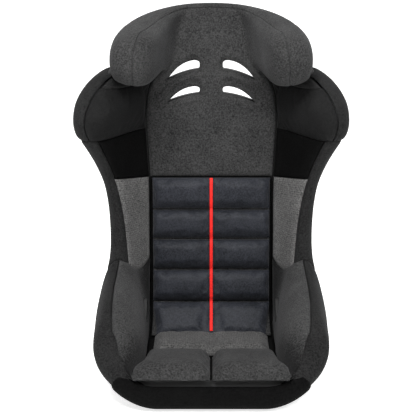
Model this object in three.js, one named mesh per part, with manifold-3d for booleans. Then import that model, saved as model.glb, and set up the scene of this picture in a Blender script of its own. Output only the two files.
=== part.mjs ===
// Fixed-back racing bucket seat, side-mounted, with sewn covers and loose cushions.
// Millimetres, +Z up; the driver faces -Y, and +X is the driver's left side.
// The origin is on the floor plane under the middle of the shell's flat base.
//
// The padded body is one surface P(t, c), ruled between a centre line and the rim:
//   t runs from the front lip (0) along the pan, up the back and over the head (LAST)
//   c runs across: 0 inner centre line, 1 foot of the side wall, 2 crest of the rim,
//   3 widest line outside, 4 edge of the flat outer back, 5 outer centre line.
// Negative c is the other side, and so is c above 5. Every panel, foam and shell is a
// stretch of that surface with a thickness.
import * as THREE from 'three';
import { mergeVertices } from 'three/addons/utils/BufferGeometryUtils.js';
import Module from 'manifold-3d';

const wasm = await Module();
wasm.setup();

// ---- driving dimensions -------------------------------------------------------------
const COVER = 4;            // knit cover with its scrim foam
const SHELL_SKIN = 4;       // glass-fibre laminate
const SHELL_INSET = 6.6;    // outer face of the shell below the body surface, under the covers
const FIT = 0.4;            // gap between neighbouring pieces
const FOAM_GAP = 1.6;       // glue and scrim between foam and its neighbours
const SEAM_GAP = 0.012;     // the same gap in units of c
const WRAP_SIDE = 3.2;      // c where the wrapped cover ends on the outside of the shell
const WRAP_FRONT = 3.6;     // the same at the front corners, where it meets the apron
const SHELL_RIM = 2.55;     // c where the shell's own rim is
const TAPE = 1.6;           // hook-and-loop tape between lining and cushions
const CUSHION_LIFT = 2.4;   // underside of the loose cushions above the lining
const BACK_BOARD = 4;       // stiff backing of the back cushion
const BACK_PAD = 27;        // front of the back cushion above the lining
const SEAT_PAD = 25;        // top of the seat cushion above the lining
const INSERT_SPACING = 295; // side mount, between the two inserts of a side
const INSERT_MIDDLE_Y = -28.5;
const INSERT_Z = 108;
const MOUNT_PLANE_X = 263;  // outer face of the side-mount bosses

// One row for each station along the seat, from the front lip to the top of the head.
// centre: inner lining (y, z); outer: outside of the shell (y, z); crest: rim (y, z)
// foot, top, wide, base: half widths at c = 1, 2, 3 and 4; wall and rim: the slope of
// the inner wall at its foot and at the crest, in degrees; drop: from the crest to the
// widest line; lift: rise of the sides at x = 250; reach and round: handle lengths;
// gable: fall of the sides for each 100 mm from the middle.
const FIELDS = ['centreY', 'centreZ', 'outerY', 'outerZ', 'crestY', 'crestZ', 'foot', 'top',
  'wide', 'wall', 'rim', 'drop', 'base', 'lift', 'reach', 'round', 'gable'];
const STATIONS = [
  [-298, 72, -304, 66, -218, 150, 166, 217, 224, 30, 60, 24, 118, 0, 0.30, 0.35, 0],
  [-286, 80, -307, 42, -206, 160, 170, 219, 252, 40, 32, 38, 116, 0, 0.38, 0.45, 0],
  [-266, 80, -300, 18, -192, 168, 168, 221, 259, 55, 12, 50, 116, 0, 0.42, 0.60, 0],
  [-238, 75, -276, 3, -174, 177, 163, 223, 261, 70, 0, 60, 118, 0, 0.45, 0.70, 0],
  [-200, 67, -238, 0, -150, 185, 156, 225, 263, 80, 0, 66, 122, 0, 0.45, 0.75, 0],
  [-148, 57, -170, 0, -116, 193, 152, 227, 265, 88, 0, 70, 126, 0, 0.45, 0.75, 0],
  [-80, 47, -90, 0, -74, 201, 152, 228, 268, 90, 0, 72, 130, 0, 0.45, 0.75, 0],
  [-12, 41, -8, 0, -30, 208, 154, 229, 269, 90, 0, 72, 134, 0, 0.45, 0.75, 0],
  [48, 42, 62, 0, 10, 216, 154, 228, 268, 88, 0, 70, 136, 0, 0.42, 0.70, 0],
  [94, 56, 116, 22, 40, 228, 153, 226, 264, 82, 0, 64, 138, 0, 0.40, 0.60, 0],
  [124, 86, 153, 62, 60, 246, 152, 223, 256, 72, 0, 56, 140, 0, 0.38, 0.50, 0],
  [145, 130, 178, 118, 74, 270, 152, 221, 249, 60, 0, 48, 141, 0, 0.36, 0.40, 0],
  [163, 193, 196, 190, 82, 302, 152, 221, 246, 52, 0, 42, 142, 0, 0.36, 0.36, 0],
  [180, 268, 214, 266, 88, 342, 153, 224, 247, 48, 0, 38, 144, 0, 0.36, 0.35, 0],
  [195, 341, 230, 338, 90, 384, 153, 231, 251, 47, 0, 36, 146, 0, 0.36, 0.35, 0],
  [206, 408, 243, 406, 84, 430, 154, 242, 260, 47, 0, 36, 150, 0, 0.36, 0.35, 0],
  [213, 470, 253, 470, 64, 478, 157, 258, 278, 48, 0, 38, 156, 0, 0.38, 0.35, 0],
  [218, 522, 261, 524, 36, 522, 160, 276, 299, 50, 0, 40, 162, 0, 0.38, 0.35, 0],
  [221, 562, 267, 565, 14, 556, 162, 290, 318, 52, 0, 40, 166, 0, 0.38, 0.38, 0],
  [224, 596, 272, 602, 8, 587, 160, 294, 322, 54, 0, 40, 168, 3, 0.38, 0.38, 0],
  [227, 625, 276, 634, 24, 612, 156, 284, 314, 54, 0, 40, 162, 12, 0.38, 0.38, 0],
  [230, 648, 279, 658, 66, 632, 146, 262, 287, 56, 0, 34, 150, 28, 0.38, 0.40, 0],
  [233, 668, 282, 681, 120, 645, 130, 232, 248, 60, 0, 22, 134, 44, 0.40, 0.45, 0],
  [236, 688, 285, 704, 50, 655, 108, 188, 231, 66, 0, 44, 122, 26, 0.45, 0.70, 0],
  [239, 714, 288, 732, 22, 700, 96, 185, 236, 68, 0, 50, 116, 4, 0.48, 0.78, 0],
  [243, 748, 291, 766, 16, 740, 92, 182, 235, 68, 0, 52, 110, 0, 0.48, 0.78, 0],
  [246, 782, 291, 803, 24, 771, 86, 176, 226, 66, 0, 52, 96, 0, 0.46, 0.75, 2],
  [249, 814, 283, 834, 40, 789, 76, 171, 212, 58, 15, 46, 70, 0, 0.44, 0.60, 5],
  [252, 838, 264, 848, 62, 801, 58, 165, 196, 30, 45, 36, 40, 0, 0.40, 0.35, 7],
];
const LAST = STATIONS.length - 1;
const OUTER_HANDLE = 0.55;
const BASE_HANDLE = 0.45;
const GABLE_ROUND = 40;

// places along t that several pieces share
const T_CUSHION_LOW = 8.35;
const T_CUSHION_TOP = 15.2;
const T_WAIST = 10;
const T_SHOULDER = 17.5;
const T_PAD_TOP = 21;
const T_NOTCH = 22;
const T_WRAP_BACK = 27;
const C_INSERT_EDGE = 1.86;
const T_INSERT_FOOT = 12.4;
const T_INSERT_TOP = T_CUSHION_TOP;
const T_APRON = 3;
const T_FOAM_FRONT = 1;
const T_WING_FOAM = 23;     // the wing's foam, above the crease of the notch
const T_FOAM_TOP = 26.5;
const T_FRONT_EDGE = 0.6;
const T_OUTER_EDGE = 0.08;
const T_GAP = 0.012;        // gap between neighbouring pieces in units of t
const NOTCH_GAP = 0.05;     // the same at the notch under the head wing, where the body creases

// ---- the body surface ---------------------------------------------------------------
const radians = (degrees) => degrees * Math.PI / 180;
const mix = (a, b, f) => a + (b - a) * f;
const steps = (from, to, count) => Array.from({ length: count + 1 }, (_, k) => mix(from, to, k / count));

function rowAt(index) {
  if (index < 0) return STATIONS[0].map((v, k) => 2 * v - STATIONS[1][k]);
  if (index > LAST) return STATIONS[LAST].map((v, k) => 2 * v - STATIONS[LAST - 1][k]);
  return STATIONS[index];
}

function station(t) {
  const i = Math.min(Math.max(Math.floor(t), 0), LAST - 1);
  const f = t - i;
  const rows = [rowAt(i - 1), rowAt(i), rowAt(i + 1), rowAt(i + 2)];
  const out = {};
  FIELDS.forEach((field, k) => {
    const [a, b, c, d] = rows.map((row) => row[k]);
    out[field] = 0.5 * (2 * b + (c - a) * f + (2 * a - 5 * b + 4 * c - d) * f * f
      + (3 * b - a - 3 * c + d) * f * f * f);
  });
  return out;
}

function bezier(p, u) {
  const v = 1 - u;
  return v * v * v * p[0] + 3 * v * v * u * p[1] + 3 * v * u * u * p[2] + u * u * u * p[3];
}

function sectionPoint(s, c, depth) {
  if (c <= 1) return [c * s.foot, 0];
  const rimCos = Math.cos(radians(s.rim));
  const rimSin = Math.sin(radians(s.rim));
  if (c <= 2) {
    const u = c - 1;
    const reach = s.reach * depth;
    const round = s.round * (s.top - s.foot);
    return [
      bezier([s.foot, s.foot + reach * Math.cos(radians(s.wall)), s.top - round * rimCos, s.top], u),
      bezier([0, reach * Math.sin(radians(s.wall)), depth - round * rimSin, depth], u),
    ];
  }
  if (c <= 3) {
    const u = c - 2;
    const out = OUTER_HANDLE * (s.wide - s.top);
    return [
      bezier([s.top, s.top + out * rimCos, s.wide, s.wide], u),
      bezier([depth, depth + 0.6 * out * rimSin, depth - s.drop * (1 - OUTER_HANDLE), depth - s.drop], u),
    ];
  }
  if (c <= 4) {
    const u = c - 3;
    const side = depth - s.drop;
    return [
      bezier([s.wide, s.wide, mix(s.base, s.wide, BASE_HANDLE), s.base], u),
      bezier([side, side * BASE_HANDLE, 0, 0], u),
    ];
  }
  return [s.base * (5 - c), 0];
}

function bodyPoint(t, c) {
  if (c < 0) return bodyPoint(t, -c).multiply(new THREE.Vector3(-1, 1, 1));
  if (c > 5) return bodyPoint(t, 10 - c).multiply(new THREE.Vector3(-1, 1, 1));
  const s = station(t);
  const [fromY, fromZ] = c <= 2 ? [s.centreY, s.centreZ] : [s.outerY, s.outerZ];
  const depth = Math.hypot(s.crestY - fromY, s.crestZ - fromZ);
  const [x, d] = sectionPoint(s, c, depth);
  const rise = s.lift * (x / 250) ** 2
    - s.gable * (Math.hypot(x, GABLE_ROUND) - GABLE_ROUND) / 100;
  const z = fromZ + (s.crestZ - fromZ) * d / depth + rise;
  return new THREE.Vector3(x, fromY + (s.crestY - fromY) * d / depth, Math.max(z, 0));
}

function bodyNormal(t, c) {
  const stepT = 0.08;
  const stepC = 0.02;
  const low = Math.max(t - stepT, 0);
  const high = Math.min(t + stepT, LAST);
  const along = bodyPoint(high, c).sub(bodyPoint(low, c));
  const across = bodyPoint(t, c + stepC).sub(bodyPoint(t, c - stepC));
  return across.cross(along).normalize();
}

// the body surface is faceted on these lines, which every piece shares
const T_LINES = [0, 0.5, 1, 1.5, 2, 2.5, T_APRON, 4, 5, 7.4, T_CUSHION_LOW, 9.2, T_WAIST, 11, 12, 13, 14,
  T_CUSHION_TOP, 16.4, T_SHOULDER, 18.5, 19.5, 20.3, T_PAD_TOP, 21.5, T_NOTCH, 22.5, 23, 24, 25, 26, 26.5,
  T_WRAP_BACK, 27.5, LAST];
const C_INNER = [0, 1, 1.15, 1.35, 1.6, C_INSERT_EDGE, 2];
const C_OUTER = [2, 2.22, SHELL_RIM, 3, WRAP_SIDE, 3.4, WRAP_FRONT, 4, 5];
const C_HALF = [...C_INNER, ...C_OUTER.slice(1)];
const C_LINES = [...C_INNER.slice(1).map((c) => -c).reverse(), ...C_HALF,
  ...C_OUTER.slice(0, -1).map((c) => 10 - c).reverse()];
const LINE_MARGIN = 0.07;

const corners = new Map();

// body point and normal where two lines cross
function corner(t, c) {
  const key = `${t}/${c}`;
  if (!corners.has(key)) corners.set(key, { point: bodyPoint(t, c), normal: bodyNormal(t, c) });
  return corners.get(key);
}

function bracket(lines, value) {
  const k = Math.max(lines.findLastIndex((line) => line <= value + 1e-9), 0);
  const high = Math.min(k + 1, lines.length - 1);
  const span = lines[high] - lines[k];
  return [lines[k], lines[high], span ? (value - lines[k]) / span : 0];
}

// a point at a depth below the faceted body; a negative depth stands proud of it
function below(t, c, depth) {
  const [t0, t1, ft] = bracket(T_LINES, t);
  const [c0, c1, fc] = bracket(C_LINES, c);
  const at = (a, b) => corner(a, b).point.clone().addScaledVector(corner(a, b).normal, -depth);
  return at(t0, c0).lerp(at(t0, c1), fc).lerp(at(t1, c0).lerp(at(t1, c1), fc), ft);
}

// ---- solids -------------------------------------------------------------------------
function solid(points, faces) {
  const geometry = new THREE.BufferGeometry();
  const flat = points.flatMap((p) => [p.x, p.y, p.z]);
  geometry.setAttribute('position', new THREE.Float32BufferAttribute(flat, 3));
  geometry.setIndex(faces);
  return geometry;
}

// closed body between two grids of the same size; the first grid is the outer face
function slab(outer, inner) {
  const rows = outer.length;
  const cols = outer[0].length;
  const points = [...outer.flat(), ...inner.flat()];
  const id = (layer, i, j) => layer * rows * cols + i * cols + j;
  const faces = [];
  const quad = (a, b, c, d) => faces.push(a, b, c, a, c, d);
  for (let i = 0; i < rows - 1; i++) {
    for (let j = 0; j < cols - 1; j++) {
      quad(id(0, i, j), id(0, i, j + 1), id(0, i + 1, j + 1), id(0, i + 1, j));
      quad(id(1, i, j), id(1, i + 1, j), id(1, i + 1, j + 1), id(1, i, j + 1));
    }
  }
  for (let j = 0; j < cols - 1; j++) {
    quad(id(0, 0, j + 1), id(0, 0, j), id(1, 0, j), id(1, 0, j + 1));
    quad(id(0, rows - 1, j), id(0, rows - 1, j + 1), id(1, rows - 1, j + 1), id(1, rows - 1, j));
  }
  for (let i = 0; i < rows - 1; i++) {
    quad(id(0, i, 0), id(0, i + 1, 0), id(1, i + 1, 0), id(1, i, 0));
    quad(id(0, i + 1, cols - 1), id(0, i, cols - 1), id(1, i, cols - 1), id(1, i + 1, cols - 1));
  }
  return solid(points, faces);
}

// closed body through a row of closed loops, with a fan over each end
function loftLoops(loops) {
  const count = loops[0].length;
  const points = loops.flat();
  const faces = [];
  for (let i = 0; i < loops.length - 1; i++) {
    for (let j = 0; j < count; j++) {
      const k = (j + 1) % count;
      const a = i * count + j;
      const b = i * count + k;
      faces.push(a, b, b + count, a, b + count, a + count);
    }
  }
  [0, loops.length - 1].forEach((row) => {
    const middle = points.length;
    const sum = loops[row].reduce((m, p) => m.add(p), new THREE.Vector3());
    points.push(sum.divideScalar(count));
    for (let j = 0; j < count; j++) {
      const a = row * count + j;
      const b = row * count + (j + 1) % count;
      if (row === 0) faces.push(middle, b, a);
      else faces.push(middle, a, b);
    }
  });
  return solid(points, faces);
}

function flipX(geometry) {
  const out = geometry.clone();
  out.scale(-1, 1, 1);
  const index = out.index.array;
  for (let k = 0; k < index.length; k += 3) {
    [index[k], index[k + 1]] = [index[k + 1], index[k]];
  }
  return out;
}

function toManifold(geometry) {
  const bare = geometry.clone();
  bare.deleteAttribute('normal');
  bare.deleteAttribute('uv');
  const merged = mergeVertices(bare, 1e-4);
  return new wasm.Manifold(new wasm.Mesh({
    numProp: 3,
    vertProperties: new Float32Array(merged.attributes.position.array),
    triVerts: new Uint32Array(merged.index.array),
  }));
}

function fromManifold(body) {
  const mesh = body.getMesh();
  const geometry = new THREE.BufferGeometry();
  geometry.setAttribute('position', new THREE.BufferAttribute(mesh.vertProperties, mesh.numProp));
  geometry.setIndex(new THREE.BufferAttribute(mesh.triVerts, 1));
  return geometry;
}

const SLIVER = 0.02;        // edges shorter than this are closed up after a cut

// what is left of a body after the tools; splinters are dropped
function cut(geometry, ...tools) {
  const left = tools.reduce((body, tool) => body.subtract(toManifold(tool)), toManifold(geometry));
  const bodies = left.decompose().sort((a, b) => b.volume() - a.volume());
  return fromManifold(bodies[0].simplify(SLIVER));
}

const linesBetween = (lines, from, to) =>
  [from, ...lines.filter((v) => v > from + LINE_MARGIN && v < to - LINE_MARGIN), to];

// grid of [t, c] nodes over a stretch of the body
function stretch(t0, t1, c0, c1) {
  const cols = linesBetween(C_LINES, c0, c1);
  return linesBetween(T_LINES, t0, t1).map((t) => cols.map((c) => [t, c]));
}

const asFunction = (value) => (typeof value === 'function' ? value : () => value);

// closed panel on a grid of nodes; u and v of a node are its place in the grid, 0 to 1
function panel(nodes, thickness = COVER, proud = 0) {
  const depthAt = asFunction(thickness);
  const proudAt = asFunction(proud);
  const rows = nodes.length - 1;
  const cols = nodes[0].length - 1;
  const layer = (depth) => nodes.map((row, i) => row.map(([t, c], j) =>
    below(t, c, depth(i / rows, j / cols))));
  return slab(layer((u, v) => -proudAt(u, v)), layer(depthAt));
}

// ---- materials ----------------------------------------------------------------------
const finish = (name, color, roughness, metalness = 0) =>
  new THREE.MeshStandardMaterial({ name, color, roughness, metalness });
const KNIT = finish('black_knit', 0x232325, 0.95);
const PAD_KNIT = finish('shoulder_knit', 0x1b1b1d, 0.75);
const MESH_CLOTH = finish('grey_mesh', 0x4b4a49, 0.95);
const CHANNEL_CLOTH = finish('channel_cloth', 0x1d1f25, 0.7);
const STRIPE_TAPE = finish('red_tape', 0xd8201c, 0.6);
const FOAM = finish('foam', 0x3a3a3c, 1.0);
const LAMINATE = finish('black_gelcoat', 0x0c0c0d, 0.35);
const TRIM = finish('black_trim', 0x141414, 0.6);
const STEEL = finish('zinc_steel', 0x9a9da1, 0.35, 0.9);
const HOOK_TAPE = finish('hook_tape', 0x1a1a1a, 0.95);

const seat = new THREE.Group();

function add(name, geometry, material) {
  const mesh = new THREE.Mesh(geometry, material);
  mesh.name = name;
  seat.add(mesh);
}

function addPair(name, geometry, material) {
  add(`${name}_left`, geometry, material);
  add(`${name}_right`, flipX(geometry), material);
}

// ---- openings for the harness -------------------------------------------------------
// the four shoulder slots: a blunt inner end and a long tip that falls outwards
const SLOT_ROWS = { upper: 0, lower: -56 };
const SLOT_INNER_X = 29;
const SLOT_TIP_X = 109;
const SLOT_TIP_Z = 661;
const TIP_GROWTH = 2.6;     // a tip this sharp moves out further than its sides

function harnessOutline(row, grow) {
  const z = SLOT_TIP_Z + SLOT_ROWS[row];
  const tall = row === 'upper' ? 48 : 40;
  const tip = SLOT_TIP_X + TIP_GROWTH * grow;
  const shape = new THREE.Shape();
  shape.moveTo(SLOT_INNER_X - grow, z + 0.62 * tall);
  shape.lineTo(SLOT_INNER_X - grow, z + 0.84 * tall);
  shape.quadraticCurveTo(SLOT_INNER_X - grow, z + tall + grow, SLOT_INNER_X + 14, z + tall + grow);
  shape.bezierCurveTo(SLOT_INNER_X + 40, z + 0.93 * tall + grow,
    SLOT_TIP_X - 20, z + 0.62 * tall + grow, tip, z - 1.6 * grow);
  shape.bezierCurveTo(SLOT_TIP_X - 20, z + 0.22 * tall - grow,
    SLOT_INNER_X + 34, z + 0.42 * tall - grow, SLOT_INNER_X + 8, z + 0.5 * tall - grow);
  shape.quadraticCurveTo(SLOT_INNER_X - grow, z + 0.5 * tall - grow, SLOT_INNER_X - grow, z + 0.62 * tall);
  return shape;
}

// a prism of a shape drawn in the X-Z plane, from y0 to y1
function alongY(shape, y0, y1, curveSegments = 4) {
  const geometry = new THREE.ExtrudeGeometry(shape, { depth: y1 - y0, bevelEnabled: false, curveSegments });
  return mergeVertices(bare(geometry), 1e-4).rotateX(Math.PI / 2).translate(0, y1, 0);
}

function bare(geometry) {
  geometry.deleteAttribute('normal');
  geometry.deleteAttribute('uv');
  return geometry;
}

function roundedRectangle(width, height, radius) {
  const shape = new THREE.Shape();
  const w = width / 2;
  const h = height / 2;
  shape.moveTo(-w + radius, -h);
  shape.lineTo(w - radius, -h);
  shape.absarc(w - radius, -h + radius, radius, -Math.PI / 2, 0);
  shape.lineTo(w, h - radius);
  shape.absarc(w - radius, h - radius, radius, 0, Math.PI / 2);
  shape.lineTo(-w + radius, h);
  shape.absarc(-w + radius, h - radius, radius, Math.PI / 2, Math.PI);
  shape.lineTo(-w, -h + radius);
  shape.absarc(-w + radius, -h + radius, radius, Math.PI, 1.5 * Math.PI);
  return shape;
}

function prism(shape, length, curveSegments = 3) {
  const options = { depth: length, bevelEnabled: false, curveSegments };
  return mergeVertices(bare(new THREE.ExtrudeGeometry(shape, options)), 1e-4);
}

const TRIM_WALL = 1.8;
const SLOT_FIT = 0.9;
const SLOT_FROM_Y = 180;
const SLOT_TO_Y = 310;
const slotKeys = Object.keys(SLOT_ROWS);
const slotTools = slotKeys.flatMap((row) => {
  const tool = alongY(harnessOutline(row, TRIM_WALL + SLOT_FIT), SLOT_FROM_Y, SLOT_TO_Y);
  return [tool, flipX(tool)];
});

// the lap-belt tunnel through each hip, and the crotch slot in the pan
const LAP = { width: 60, height: 22, y: 76, z: 112, tilt: 35, from: 140, to: 280, trimFrom: 158, trimTo: 262 };

function lapPrism(grow, from, to) {
  const shape = roundedRectangle(LAP.width + 2 * grow, LAP.height + 2 * grow, 8 + grow);
  return prism(shape, to - from).rotateY(Math.PI / 2).rotateX(radians(90 + LAP.tilt))
    .translate(from, LAP.y, LAP.z);
}

const CROTCH = { width: 64, length: 12, y: -84, from: -20, to: 120, trimFrom: 0.3, trimTo: 43 };

function crotchPrism(grow, z0, z1) {
  const shape = roundedRectangle(CROTCH.width + 2 * grow, CROTCH.length + 2 * grow, 4 + grow);
  return prism(shape, z1 - z0).translate(0, CROTCH.y, z0);
}

const lapTool = lapPrism(TRIM_WALL + FIT, LAP.from, LAP.to);
const crotchTool = crotchPrism(TRIM_WALL + FIT, CROTCH.from, CROTCH.to);

// ---- shell --------------------------------------------------------------------------
const smooth = (x) => {
  const f = Math.min(Math.max(x, 0), 1);
  return f * f * (3 - 2 * f);
};
const T_WRAP_TURN = 1.6;    // where the wrap's edge starts to rise towards the sides
const wrapEnd = (t) => mix(WRAP_FRONT, WRAP_SIDE, smooth((t - T_WRAP_TURN) / (T_APRON - T_WRAP_TURN)));

// the shell is sunk under the wrapped covers and flush with the body surface beyond them
function shellInset(t, c) {
  const covered = Math.min(c, 10 - c) <= WRAP_SIDE || t <= T_APRON || t >= T_WRAP_BACK;
  return covered ? SHELL_INSET : 0;
}

// the flat of the base and of the back has no line of facets down its middle
const SHELL_END = 0.25;
const SHELL_T = linesBetween(T_LINES, SHELL_END, LAST - SHELL_END);
const SHELL_C = linesBetween(C_LINES, SHELL_RIM, 10 - SHELL_RIM).filter((c) => c !== 5);

function shellLayer(depth, rows = SHELL_T) {
  return rows.map((t) => SHELL_C.map((c) => below(t, c, depth + shellInset(t, c))));
}

// room the covers leave for the shell, whole and round the notch alone
const NOTCH_ROWS = linesBetween(T_LINES, 20.3, 24);
const shellSpace = slab(shellLayer(-2 * FIT), shellLayer(SHELL_SKIN + FIT));
const notchSlab = slab(shellLayer(-4 * FIT, NOTCH_ROWS), shellLayer(SHELL_SKIN + FIT, NOTCH_ROWS));
const notchSpace = [notchSlab, flipX(notchSlab)];

// side mounts: two moulded bosses on each side, with a steel insert in each
const BOSS_RADIUS = 13;
const BOSS_DEPTH = 60;
const BOSS_REACH = 20;      // how far its hole in the cover runs out past it
const INSERT_RADIUS = 8;
const THREAD_RADIUS = 4;
const INSERT_DEPTH = 24;
const INSERT_SIDES = 20;
const insertPlaces = { front: -INSERT_SPACING / 2, rear: INSERT_SPACING / 2 };
const insertKeys = Object.keys(insertPlaces);

function roundTool(place, radius, depth, proud = 0) {
  const cylinder = new THREE.CylinderGeometry(radius, radius, depth + proud, INSERT_SIDES).rotateZ(Math.PI / 2);
  const middleX = MOUNT_PLANE_X - (depth - proud) / 2;
  return cylinder.translate(middleX, INSERT_MIDDLE_Y + insertPlaces[place], INSERT_Z);
}

const insertTools = insertKeys.map((place) => roundTool(place, INSERT_RADIUS + FIT, INSERT_DEPTH + FIT, FIT));
const bossTools = insertKeys.map((place) => roundTool(place, BOSS_RADIUS + FIT, BOSS_DEPTH, BOSS_REACH));

add('shell', cut(slab(shellLayer(0), shellLayer(SHELL_SKIN)), ...slotTools,
  lapTool, flipX(lapTool), crotchTool, ...insertTools, ...insertTools.map(flipX)), LAMINATE);

const withoutShell = slab(shellLayer(-FIT), shellLayer(BOSS_DEPTH));
insertKeys.forEach((place, k) => {
  addPair(`side_mount_boss_${place}`,
    cut(roundTool(place, BOSS_RADIUS, BOSS_DEPTH), withoutShell, insertTools[k]), LAMINATE);
  addPair(`mount_insert_${place}`,
    cut(roundTool(place, INSERT_RADIUS, INSERT_DEPTH),
      roundTool(place, THREAD_RADIUS, BOSS_DEPTH, FIT)), STEEL);
});

// liners of the openings
const TRIM_FRONT_Y = 243;
const TRIM_DEPTH = 46;
const LOWER_TRIM_SHIFT = -9;
slotKeys.forEach((row) => {
  const front = TRIM_FRONT_Y + (row === 'upper' ? 0 : LOWER_TRIM_SHIFT);
  const ring = cut(alongY(harnessOutline(row, TRIM_WALL), front, front + TRIM_DEPTH),
    alongY(harnessOutline(row, 0), SLOT_FROM_Y, SLOT_TO_Y));
  addPair(`harness_slot_trim_${row}`, ring, TRIM);
});
addPair('lap_belt_slot_trim', cut(lapPrism(TRIM_WALL, LAP.trimFrom, LAP.trimTo),
  lapPrism(0, LAP.from, LAP.to)), TRIM);
add('crotch_slot_trim', cut(crotchPrism(TRIM_WALL, CROTCH.trimFrom, CROTCH.trimTo),
  crotchPrism(0, CROTCH.from, CROTCH.to)), TRIM);

// ---- foam under the covers ----------------------------------------------------------
const FOAM_IN = COVER + FOAM_GAP;
const SHELL_IN = SHELL_SKIN + 2.5 * FOAM_GAP;

function foam(t0, t1, innerFrom, innerTo, outerFrom, outerTo) {
  const loops = linesBetween(T_LINES, t0, t1).map((t) => [
    ...linesBetween(C_LINES, innerFrom, innerTo).map((c) => below(t, c, FOAM_IN)),
    ...linesBetween(C_LINES, outerFrom, outerTo).map((c) => below(t, c, SHELL_IN + shellInset(t, c))),
  ]);
  return loftLoops(loops);
}

const sideFoam = (t0, t1) => foam(t0, t1, 1.15, C_INSERT_EDGE, SHELL_RIM, WRAP_FRONT);
const middleFoam = (t0, t1) => foam(t0, t1, -0.95, 0.95, 4, 6);

addPair('thigh_foam', cut(sideFoam(T_FOAM_FRONT, T_WAIST - T_GAP), lapTool, ...insertTools), FOAM);
addPair('side_foam', cut(sideFoam(T_WAIST + T_GAP, T_SHOULDER - T_GAP), lapTool), FOAM);
addPair('shoulder_foam', sideFoam(T_SHOULDER + T_GAP, T_PAD_TOP), FOAM);
addPair('head_wing_foam', sideFoam(T_WING_FOAM, T_FOAM_TOP), FOAM);
add('pan_foam', cut(middleFoam(T_FOAM_FRONT, T_CUSHION_LOW - T_GAP), crotchTool), FOAM);
add('back_foam', middleFoam(T_CUSHION_LOW + T_GAP, T_CUSHION_TOP - T_GAP), FOAM);
add('head_foam', cut(middleFoam(T_CUSHION_TOP + T_GAP, T_FOAM_TOP), ...slotTools), FOAM);

// ---- covers -------------------------------------------------------------------------
const C_MID = 1 - SEAM_GAP;
const C_FOOT = 1 + SEAM_GAP;
const C_CREST_IN = 2 - SEAM_GAP;
const C_CREST_OUT = 2 + SEAM_GAP;
const C_TOP_EDGE = 1.96;     // the shoulder's top cover stops short of the crest

add('pan_lining', cut(panel(stretch(T_FRONT_EDGE, T_CUSHION_LOW - T_GAP, -C_MID, C_MID)), crotchTool), KNIT);
add('back_lining', panel(stretch(T_CUSHION_LOW + T_GAP, T_CUSHION_TOP - T_GAP, -C_MID, C_MID)), KNIT);
add('upper_back_panel', cut(panel(stretch(T_CUSHION_TOP + T_GAP, T_NOTCH - NOTCH_GAP, -C_MID, C_MID)),
  ...slotTools), KNIT);
add('head_panel', cut(panel(stretch(T_NOTCH + NOTCH_GAP, LAST, -C_CREST_IN, C_CREST_IN)),
  ...notchSpace, ...slotTools), KNIT);

// the grey insert's lower edge slants, and the inner thigh cover runs up to it
const T_SLANT = 9.2;
const SLANT_GAP = 0.03;
const SLANT_ROWS = 4;
const insertLow = (c) => mix(T_INSERT_FOOT, T_WAIST, Math.min((c - 1) / (C_INSERT_EDGE - 1), 1));

const thighNodes = stretch(T_FRONT_EDGE, T_SLANT, C_FOOT, C_CREST_IN);
const thighColumns = thighNodes[0].map(([, c]) => c);
steps(1 / SLANT_ROWS, 1, SLANT_ROWS - 1).forEach((f) => {
  thighNodes.push(thighColumns.map((c) => [mix(T_SLANT, insertLow(c) - SLANT_GAP, f), c]));
});
addPair('thigh_cover_inner', cut(panel(thighNodes), lapTool), KNIT);

const insertColumns = linesBetween(C_LINES, C_FOOT, C_INSERT_EDGE - SEAM_GAP);
addPair('side_insert', panel(steps(0, 1, 5).map((f) =>
  insertColumns.map((c) => [mix(insertLow(c) + SLANT_GAP, T_INSERT_TOP - T_GAP, f), c]))), MESH_CLOTH);

// an outer cover follows the wrap's edge on the outside of the shell
function wrapNodes(t0, t1, c0) {
  const rim = linesBetween(C_LINES, c0, 3).slice(0, -1);
  const side = steps(0, 1, t1 <= T_WAIST ? 3 : 1);
  return linesBetween(T_LINES, t0, t1).map((t) =>
    [...rim, ...side.map((f) => mix(3, wrapEnd(t), f))].map((c) => [t, c]));
}

addPair('thigh_cover_outer', cut(panel(wrapNodes(T_OUTER_EDGE, T_WAIST - T_GAP, C_CREST_OUT)),
  shellSpace, lapTool, ...bossTools), KNIT);
addPair('waist_rim_cover', panel(wrapNodes(T_WAIST + T_GAP, T_SHOULDER - T_GAP, C_INSERT_EDGE)), KNIT);
addPair('side_panel',
  panel(stretch(T_INSERT_TOP + T_GAP, T_SHOULDER - T_GAP, C_FOOT, C_INSERT_EDGE - SEAM_GAP)), KNIT);

// the shoulder pad is stuffed: it stands proud of the body, most of all in the middle
const PAD_CROWN = 13;
const edgeless = (f) => Math.sin(Math.PI * mix(0.02, 0.98, f));
addPair('shoulder_pad', panel(stretch(T_SHOULDER + T_GAP, T_PAD_TOP - T_GAP, C_FOOT, C_CREST_IN), COVER,
  (u, v) => PAD_CROWN * (edgeless(u) * edgeless(v)) ** 0.45), PAD_KNIT);
addPair('shoulder_rim_cover',
  panel(wrapNodes(T_SHOULDER + T_GAP, T_NOTCH - 3 * NOTCH_GAP, C_CREST_OUT)), KNIT);
addPair('shoulder_top_cover',
  cut(panel(stretch(T_PAD_TOP + T_GAP, T_NOTCH - 2 * NOTCH_GAP, C_FOOT, C_TOP_EDGE)), ...notchSpace), KNIT);

// the apron covers the front wall between the two thigh covers
add('front_apron', panel(
  stretch(T_OUTER_EDGE, T_APRON, WRAP_FRONT + SEAM_GAP, 10 - WRAP_FRONT - SEAM_GAP)), KNIT);

const NOTCH_SLANT = 0.9;    // the head's rim cover starts higher where the body creases

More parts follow.
